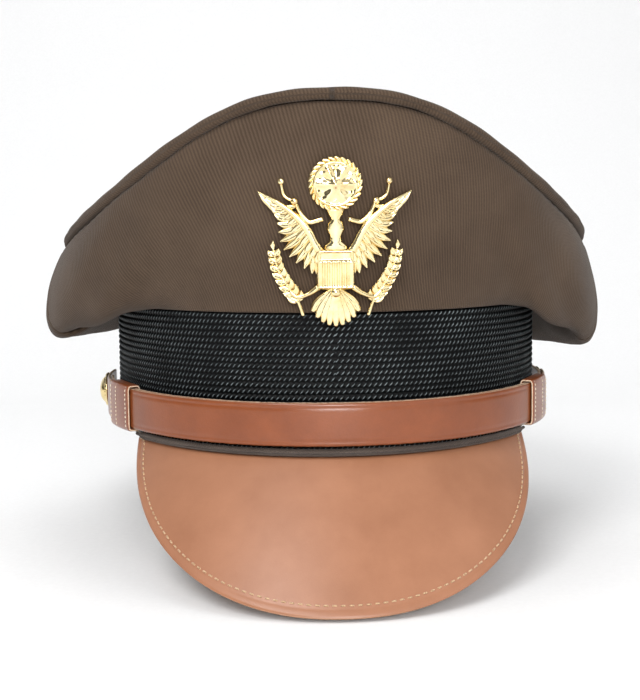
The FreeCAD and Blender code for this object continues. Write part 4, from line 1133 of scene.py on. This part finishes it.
def shield():
    """Plain shield: rolled border, a smooth band across its top, and upright ribs below it."""
    x, h, depth = rounded_plate(6.9, 13.2, 28.0, 1.6, 1.2)
    border = np.minimum(6.9 - np.abs(x), np.minimum(h - 13.2, 28.0 - h))
    inside = border > 1.3
    band_edge = 23.4
    ribs = 0.5 + 0.5 * np.cos(2 * math.pi * x / 1.7)
    depth = depth - 0.75 * inside + 0.65 * ribs * (inside & (h < band_edge - 0.3))
    depth = depth + 0.45 * (inside & (np.abs(h - band_edge) < 0.35))
    grid = np.stack([x, h, depth], -1)
    n = grid.shape[0]
    faces = quads(n, n).tolist()
    loop = [k * n for k in range(n)] + [(n - 1) * n + k for k in range(1, n)]
    loop += [(n - 1 - k) * n + n - 1 for k in range(1, n)] + [n - 1 - k for k in range(1, n - 1)]
    flat = grid.reshape(-1, 3)
    foot = flat[loop].copy()
    foot[:, 2] = 0.1
    for k in range(len(loop)):
        k2 = (k + 1) % len(loop)
        faces.append([loop[k], loop[k2], len(flat) + k2, len(flat) + k])
    faces.append([len(flat) + k for k in range(len(loop))])
    return on_badge(np.concatenate([flat, foot])), faces


def fan():
    """Fan below the shield, of ribbed blades that spread from its lower edge."""
    shapes = []
    for k in range(-4, 5):
        a = math.radians(k * 13.5)
        tip = np.array([12.6 * math.sin(a) * 0.82, 13.2 - 12.9 * math.cos(a)])
        root = np.array([0.35 * k, 13.4])
        path = smooth_path([root, 0.5 * (root + tip) + [0.25 * k, 0], tip], 24)
        shapes.append(blade(path, [0.6, 1.0, 1.35, 1.5, 0.8], 1.7 - 0.07 * abs(k), 0.8, vane=0.3))
    shapes.append(knob(0, 12.4, 2.0, 1.4))
    return shapes


def boss():
    """Round boss: a twisted rope rim, a plain fillet, and a rosette of petals in its field."""
    centre_h, radius = 50.4, 9.6
    around = np.linspace(0, 2 * math.pi, 144, endpoint=False)
    turn, share = np.meshgrid(around, np.linspace(0.001, 1, 44), indexing="ij")
    r = share * 8.4
    petals = np.cos(6 * turn) * np.exp(-(((r - 4.6) / 2.2) ** 2))
    petals = petals + 0.6 * np.cos(12 * turn + 0.4) * np.exp(-(((r - 6.2) / 0.8) ** 2))
    centre = 1.1 * np.exp(-((r / 1.5) ** 2))
    depth = 2.1 + 1.0 * (1 - share**2) + 0.34 * petals + centre + 0.5 * np.exp(-(((r - 7.5) / 0.4) ** 2))
    depth = depth - 2.0 * np.clip((share - 0.97) / 0.03, 0, 1)
    field = np.stack([r * np.cos(turn), centre_h + r * np.sin(turn), depth], -1)
    shapes = [(on_badge(field).reshape(-1, 3), quads(144, 44, wrap_rows=True).tolist())]
    strands = 26
    for k in range(strands):
        a = 2 * math.pi * (k + np.linspace(-0.62, 0.62, 12)) / strands
        reach = radius - 0.95 + np.linspace(-0.75, 0.75, 12)
        path = np.stack([reach * np.cos(a), centre_h + reach * np.sin(a)], -1)
        shapes.append(blade(path, [0.25, 0.72, 0.85, 0.72, 0.25], 1.5, 0.95, across=7))
    return shapes


def finial():
    """Turned finial between shield and boss, in half round."""
    h = np.linspace(27.6, 41.6, 60)
    knots_h = [27.6, 29.0, 30.4, 32.0, 34.6, 36.6, 38.2, 39.6, 41.6]
    knots_w = [4.4, 4.1, 2.4, 2.1, 3.3, 2.9, 1.7, 2.6, 3.4]
    widths = np.interp(h, knots_h, knots_w)
    path = np.stack([0 * h, h], -1)
    return [blade(path, widths, 0.9, 1.9, across=15)]


for label, shape in (("wing", wing), ("sprig", sprig), ("curl", curl)):
    badge_piece(f"badge_{label}_right", shape(1))
    badge_piece(f"badge_{label}_left", shape(-1))
badge_piece("badge_shield", [shield()])
badge_piece("badge_fan", fan())
badge_piece("badge_boss", boss())
badge_piece("badge_finial", finial())

# ---------------------------------------------------------------- inside

SWEAT_TOP = sweat_high[2]


def sweatband():
    """Leather sweatband: turned out over the reed below, free and slightly wavy above, joined at the back."""
    angle = np.linspace(181.0, 539.0, 720)
    run = run_length(oval(angle, 0.5))
    share = np.linspace(0, 1, 40)
    z = 0.7 + (SWEAT_TOP - 0.7) * share
    wave = ripple(run[:, None] + 0 * z, z[None, :] + 0 * run[:, None], 70.0, 31, 0.35) * share[None, :]
    embossed = 0.12 * np.exp(-(((z - 33.5) / 0.45) ** 2)) + 0.12 * np.exp(-(((z - 31.8) / 0.45) ** 2))
    curl_out = 1.2 * np.exp(-((z / 2.4) ** 2))
    grow = 0.45 + wave * 0.6 + embossed[None, :] + curl_out[None, :]
    grow = np.clip(grow, 0.05, 2.0)
    base = oval(angle, 0)[:, None] + oval_outward(angle, 0)[:, None] * grow[..., None]
    inner = base + z[None, :, None] * np.array([0, 0, 1.0])
    outer = inner + oval_outward(angle, 0)[:, None] * 0.8
    uv = np.stack([run[:, None] + 0 * z, z[None, :] + 0 * run[:, None]], -1)
    obj = sheet_between("sweatband_leather", outer, inner, uv=uv)
    place(obj, SWEAT, slot="sweat_leather", stands_for=["sweatband"])
    edge_material(obj, *outer.shape[:2], EDGE)
    line = oval(angle, 1.05) + [0, 0, 3.4]
    thread_row = stitches("sweatband_stitches", line, -oval_outward(angle, 0), 3.1, 0.5, lift=0.55)
    place(thread_row, CREAM_THREAD, slot="sweat_leather")
    zigzag = 1.5 * np.sign(np.sin(np.pi * (np.arange(25) + 0.5)))
    up = np.linspace(0, 1, 25)
    back = oval(np.array([180.0]), 0.4)[0]
    joint = back + np.stack([zigzag, 0 * up, 5 + 30 * up], -1)
    lacing = tube_along("sweatband_back_lacing", joint, 0.3, sides=8)
    place(lacing, CREAM_THREAD, slot="sweat_leather")


sweatband()

TIP_HALF = np.array([68.0, 82.0])
TIP_HEIGHT, TIP_TILT = 82.0, math.radians(14)
LINING_FOOT = SWEAT_TOP + 0.3


def tip_point(x, y):
    """Point of the lining's tilted tip, over a place x, y in its own plane."""
    return np.stack([x, y * math.cos(TIP_TILT), TIP_HEIGHT - y * math.sin(TIP_TILT)], -1)


def lining():
    """Satin lining: a side gathered in soft pleats into the tip's seam, and a flat tip."""
    angle, share = np.meshgrid(np.arange(0, 360, 0.5), np.linspace(0, 1, 60), indexing="ij")
    a = np.radians(angle)
    low = oval(angle, SWEAT_FACE - 0.9) + [0, 0, LINING_FOOT]
    high = tip_point((TIP_HALF[0] - 0.3) * np.sin(a), -(TIP_HALF[1] - 0.3) * np.cos(a))
    points = low + (high - low) * share[..., None]
    gathers = 0.9 * np.sin(a * 64 + 1.5 * np.sin(3 * a)) * share**2
    pleat = gathers + 0.35 * np.sin(a * 19) * np.sin(math.pi * share)
    out = oval_outward(angle, 0)
    face = points - out * (0.7 + np.abs(pleat))[..., None]
    back = face + out * 0.5
    run = run_length(oval(np.arange(0, 360, 0.5), 0))[:, None] + 0 * share
    uv = np.stack([run, share * 60], -1)
    side_cloth = sheet_between("lining_side_satin", back, face, wrap_rows=True, uv=uv)
    place(side_cloth, LINING, slot="lining_cloth", stands_for=["lining_side"])
    angle, share = np.meshgrid(np.arange(0, 360, 3.0), np.linspace(0, 1, 50), indexing="ij")
    a = np.radians(angle)
    x, y = TIP_HALF[0] * share * np.sin(a), -TIP_HALF[1] * share * np.cos(a)
    flat = tip_point(x, y)
    slack = ripple(x, y, 55.0, 41, 0.35) * (1 - share)
    upper = flat + (0.45 + slack)[..., None] * np.array([0, 0, 1.0])
    uv = np.stack([x, y], -1)
    tip = sheet_between("lining_tip_satin", upper, upper - [0, 0, 0.4], wrap_rows=True, uv=uv)
    place(tip, LINING, slot="lining_cloth", stands_for=["lining_tip"])
    turn = np.radians(np.arange(0, 360, 0.5))
    seam = tip_point((TIP_HALF[0] - 1.6) * np.sin(turn), -(TIP_HALF[1] - 1.6) * np.cos(turn)) - [0, 0, 0.35]
    piping = tube_along("lining_seam_piping", seam, 0.8, sides=10, closed=True)
    place(piping, SWEAT, slot="sweat_leather")


def sweat_shield():
    """Clear film over the tip, bound with a stitched edge."""
    half = np.array([44.0, 56.0])
    angle, share = np.meshgrid(np.arange(0, 360, 3.0), np.linspace(0, 1, 40), indexing="ij")
    a = np.radians(angle)
    x, y = half[0] * share * np.sin(a), -half[1] * share * np.cos(a)
    film = tip_point(x, y) - (0.45 + 0.25 * (1 - share**4))[..., None] * np.array([0, 0, 1.0])
    shield_film = sheet_between("sweat_shield_film", film, film - [0, 0, 0.25], wrap_rows=True)
    place(shield_film, FILM, slot="clear_vinyl", stands_for=["sweat_shield"])
    turn = np.radians(np.arange(0, 360.5, 1.0))
    rim_line = tip_point(half[0] * np.sin(turn), -half[1] * np.cos(turn)) - [0, 0, 0.55]
    binding = tube_along("sweat_shield_binding", rim_line[:-1], 0.75, sides=10, closed=True, squash=0.6)
    place(binding, SWEAT, slot="clear_vinyl")
    row = stitches("sweat_shield_stitches", rim_line, np.array([0, 0, -1.0]), 2.6, 0.4, lift=0.62)
    place(row, CREAM_THREAD, slot="clear_vinyl")


lining()
sweat_shield()


def reed():
    """Cloth-covered reed that joins sweatband and frame."""
    line = oval(np.arange(0, 360, 0.75), 1.0 + 0.95) + [0, 0, 1.0]
    piece = tube_along("sweatband_reed_cloth", line, 0.92, sides=12, closed=True)
    place(piece, PIPING, slot="cord_cloth", stands_for=["sweatband_reed"])


reed()

# ---------------------------------------------------------------- CAD pieces that keep their own shape

KEPT = {
    "band_frame": BOARD,
    "front_stiffener": HAIRCLOTH,
    "front_stay": STEEL,
    "stay_rivets": BRASS,
    "grommet_wire": STEEL,
    "grommet_ferrule": BRASS,
    "visor_core": BOARD,
    "button_nut_left": BRASS,
    "button_nut_right": BRASS,
    "badge_post": BRASS,
    "badge_nut": BRASS,
}
for node, material in KEPT.items():
    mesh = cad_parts[node].data
    mesh.materials.clear()
    mesh.materials.append(material)

# ---------------------------------------------------------------- camera, light and floor

bpy.context.view_layer.update()


def aim(obj, eye, target, roll=0.0):
    """Puts a camera or light at eye and turns it towards target."""
    back = (Vector(eye) - Vector(target)).normalized()
    obj.rotation_mode = "QUATERNION"
    obj.location = eye
    obj.rotation_quaternion = back.to_track_quat("Z", "Y") @ Matrix.Rotation(roll, 3, "Z").to_quaternion()


def add_camera():
    """Camera almost level with the band, straight in front."""
    azimuth, elevation = math.radians(-1.82), math.radians(5.54)
    distance, focal = 0.556, 1237 / 700 * 36
    level = math.cos(elevation)
    back = Vector((math.sin(azimuth) * level, -math.cos(azimuth) * level, math.sin(elevation)))
    right = Vector((math.cos(azimuth), math.sin(azimuth), 0))
    up = back.cross(right)
    target = right * -0.0023 + up * 0.0282
    camera = bpy.data.objects.new("camera", bpy.data.cameras.new("camera"))
    bpy.context.scene.collection.objects.link(camera)
    camera.data.lens = focal
    camera.data.sensor_width = 36
    camera.data.clip_start, camera.data.clip_end = 0.02, 20
    aim(camera, target + back * distance, target, math.radians(-0.62))
    bpy.context.scene.camera = camera


def add_light(name, where, towards, size, watts, colour=(1, 1, 1)):
    """Soft rectangular light, aimed at a place."""
    light = bpy.data.lights.new(name, "AREA")
    light.shape = "RECTANGLE"
    light.size, light.size_y = size
    light.energy = watts
    light.color = colour
    obj = bpy.data.objects.new(name, light)
    bpy.context.scene.collection.objects.link(obj)
    aim(obj, where, towards)


add_camera()
middle = (0, -0.01, 0.05)
add_light("key", (-0.45, -0.95, 0.95), middle, (0.6, 0.6), 11)
add_light("fill", (0.9, -0.7, 0.45), middle, (0.9, 0.9), 2.5)
add_light("front", (0.05, -1.3, 0.35), middle, (0.5, 0.4), 10)
add_light("top", (0.0, 0.25, 1.25), middle, (1.2, 1.0), 5)
add_light("rear", (0.2, 1.2, 0.6), middle, (1.2, 0.8), 5)


def add_floor():
    """Pale floor a little below the visor's tip, which curves up into a plain backdrop."""
    drop = cad_low.z / MM - 2.0
    front, back, bend, half_width = -1500.0, 400.0, 500.0, 1800.0
    turn = np.linspace(0, math.pi / 2, 16)
    y = np.concatenate([np.linspace(front, back, 12), back + bend * np.sin(turn), [back + bend] * 4])
    lift = bend * (1 - np.cos(turn))
    z = drop + np.concatenate([np.zeros(12), lift, bend + np.linspace(200, 1600, 4)])
    x = np.linspace(-half_width, half_width, 9)
    across, depth = np.meshgrid(x, y, indexing="ij")
    grid = np.stack([across, depth, np.broadcast_to(z, across.shape)], -1)
    floor = make_mesh("floor", grid.reshape(-1, 3), quads(len(x), len(y)))
    n = Nodes("floor_paper")
    grain = n.noise(n.place(), 2.0, 3)
    n.bump(grain, 0.02)
    paper = n.ramp(grain, (0.3, (0.84, 0.84, 0.84)), (0.7, (0.87, 0.87, 0.87)))
    floor.data.materials.append(n.finish(paper, 0.9))


def add_surround():
    """Soft surround, bright overhead and dim at the horizon, so that leather and metal show their form."""
    world = bpy.data.worlds.new("studio")
    bpy.context.scene.world = world
    world.use_nodes = True
    tree = world.node_tree
    direction = tree.nodes.new("ShaderNodeTexCoord")
    parts = tree.nodes.new("ShaderNodeSeparateXYZ")
    sky = tree.nodes.new("ShaderNodeValToRGB")
    tree.links.new(direction.outputs["Generated"], parts.inputs[0])
    tree.links.new(parts.outputs["Z"], sky.inputs[0])
    tree.links.new(sky.outputs[0], tree.nodes["Background"].inputs["Color"])
    sky.color_ramp.elements[0].position, sky.color_ramp.elements[0].color = 0.1, (0.14, 0.14, 0.15, 1)
    sky.color_ramp.elements[1].position, sky.color_ramp.elements[1].color = 0.75, (0.93, 0.94, 0.95, 1)
    tree.nodes["Background"].inputs["Strength"].default_value = 0.6


add_floor()
add_surround()
bpy.context.scene.view_settings.view_transform = "Standard"
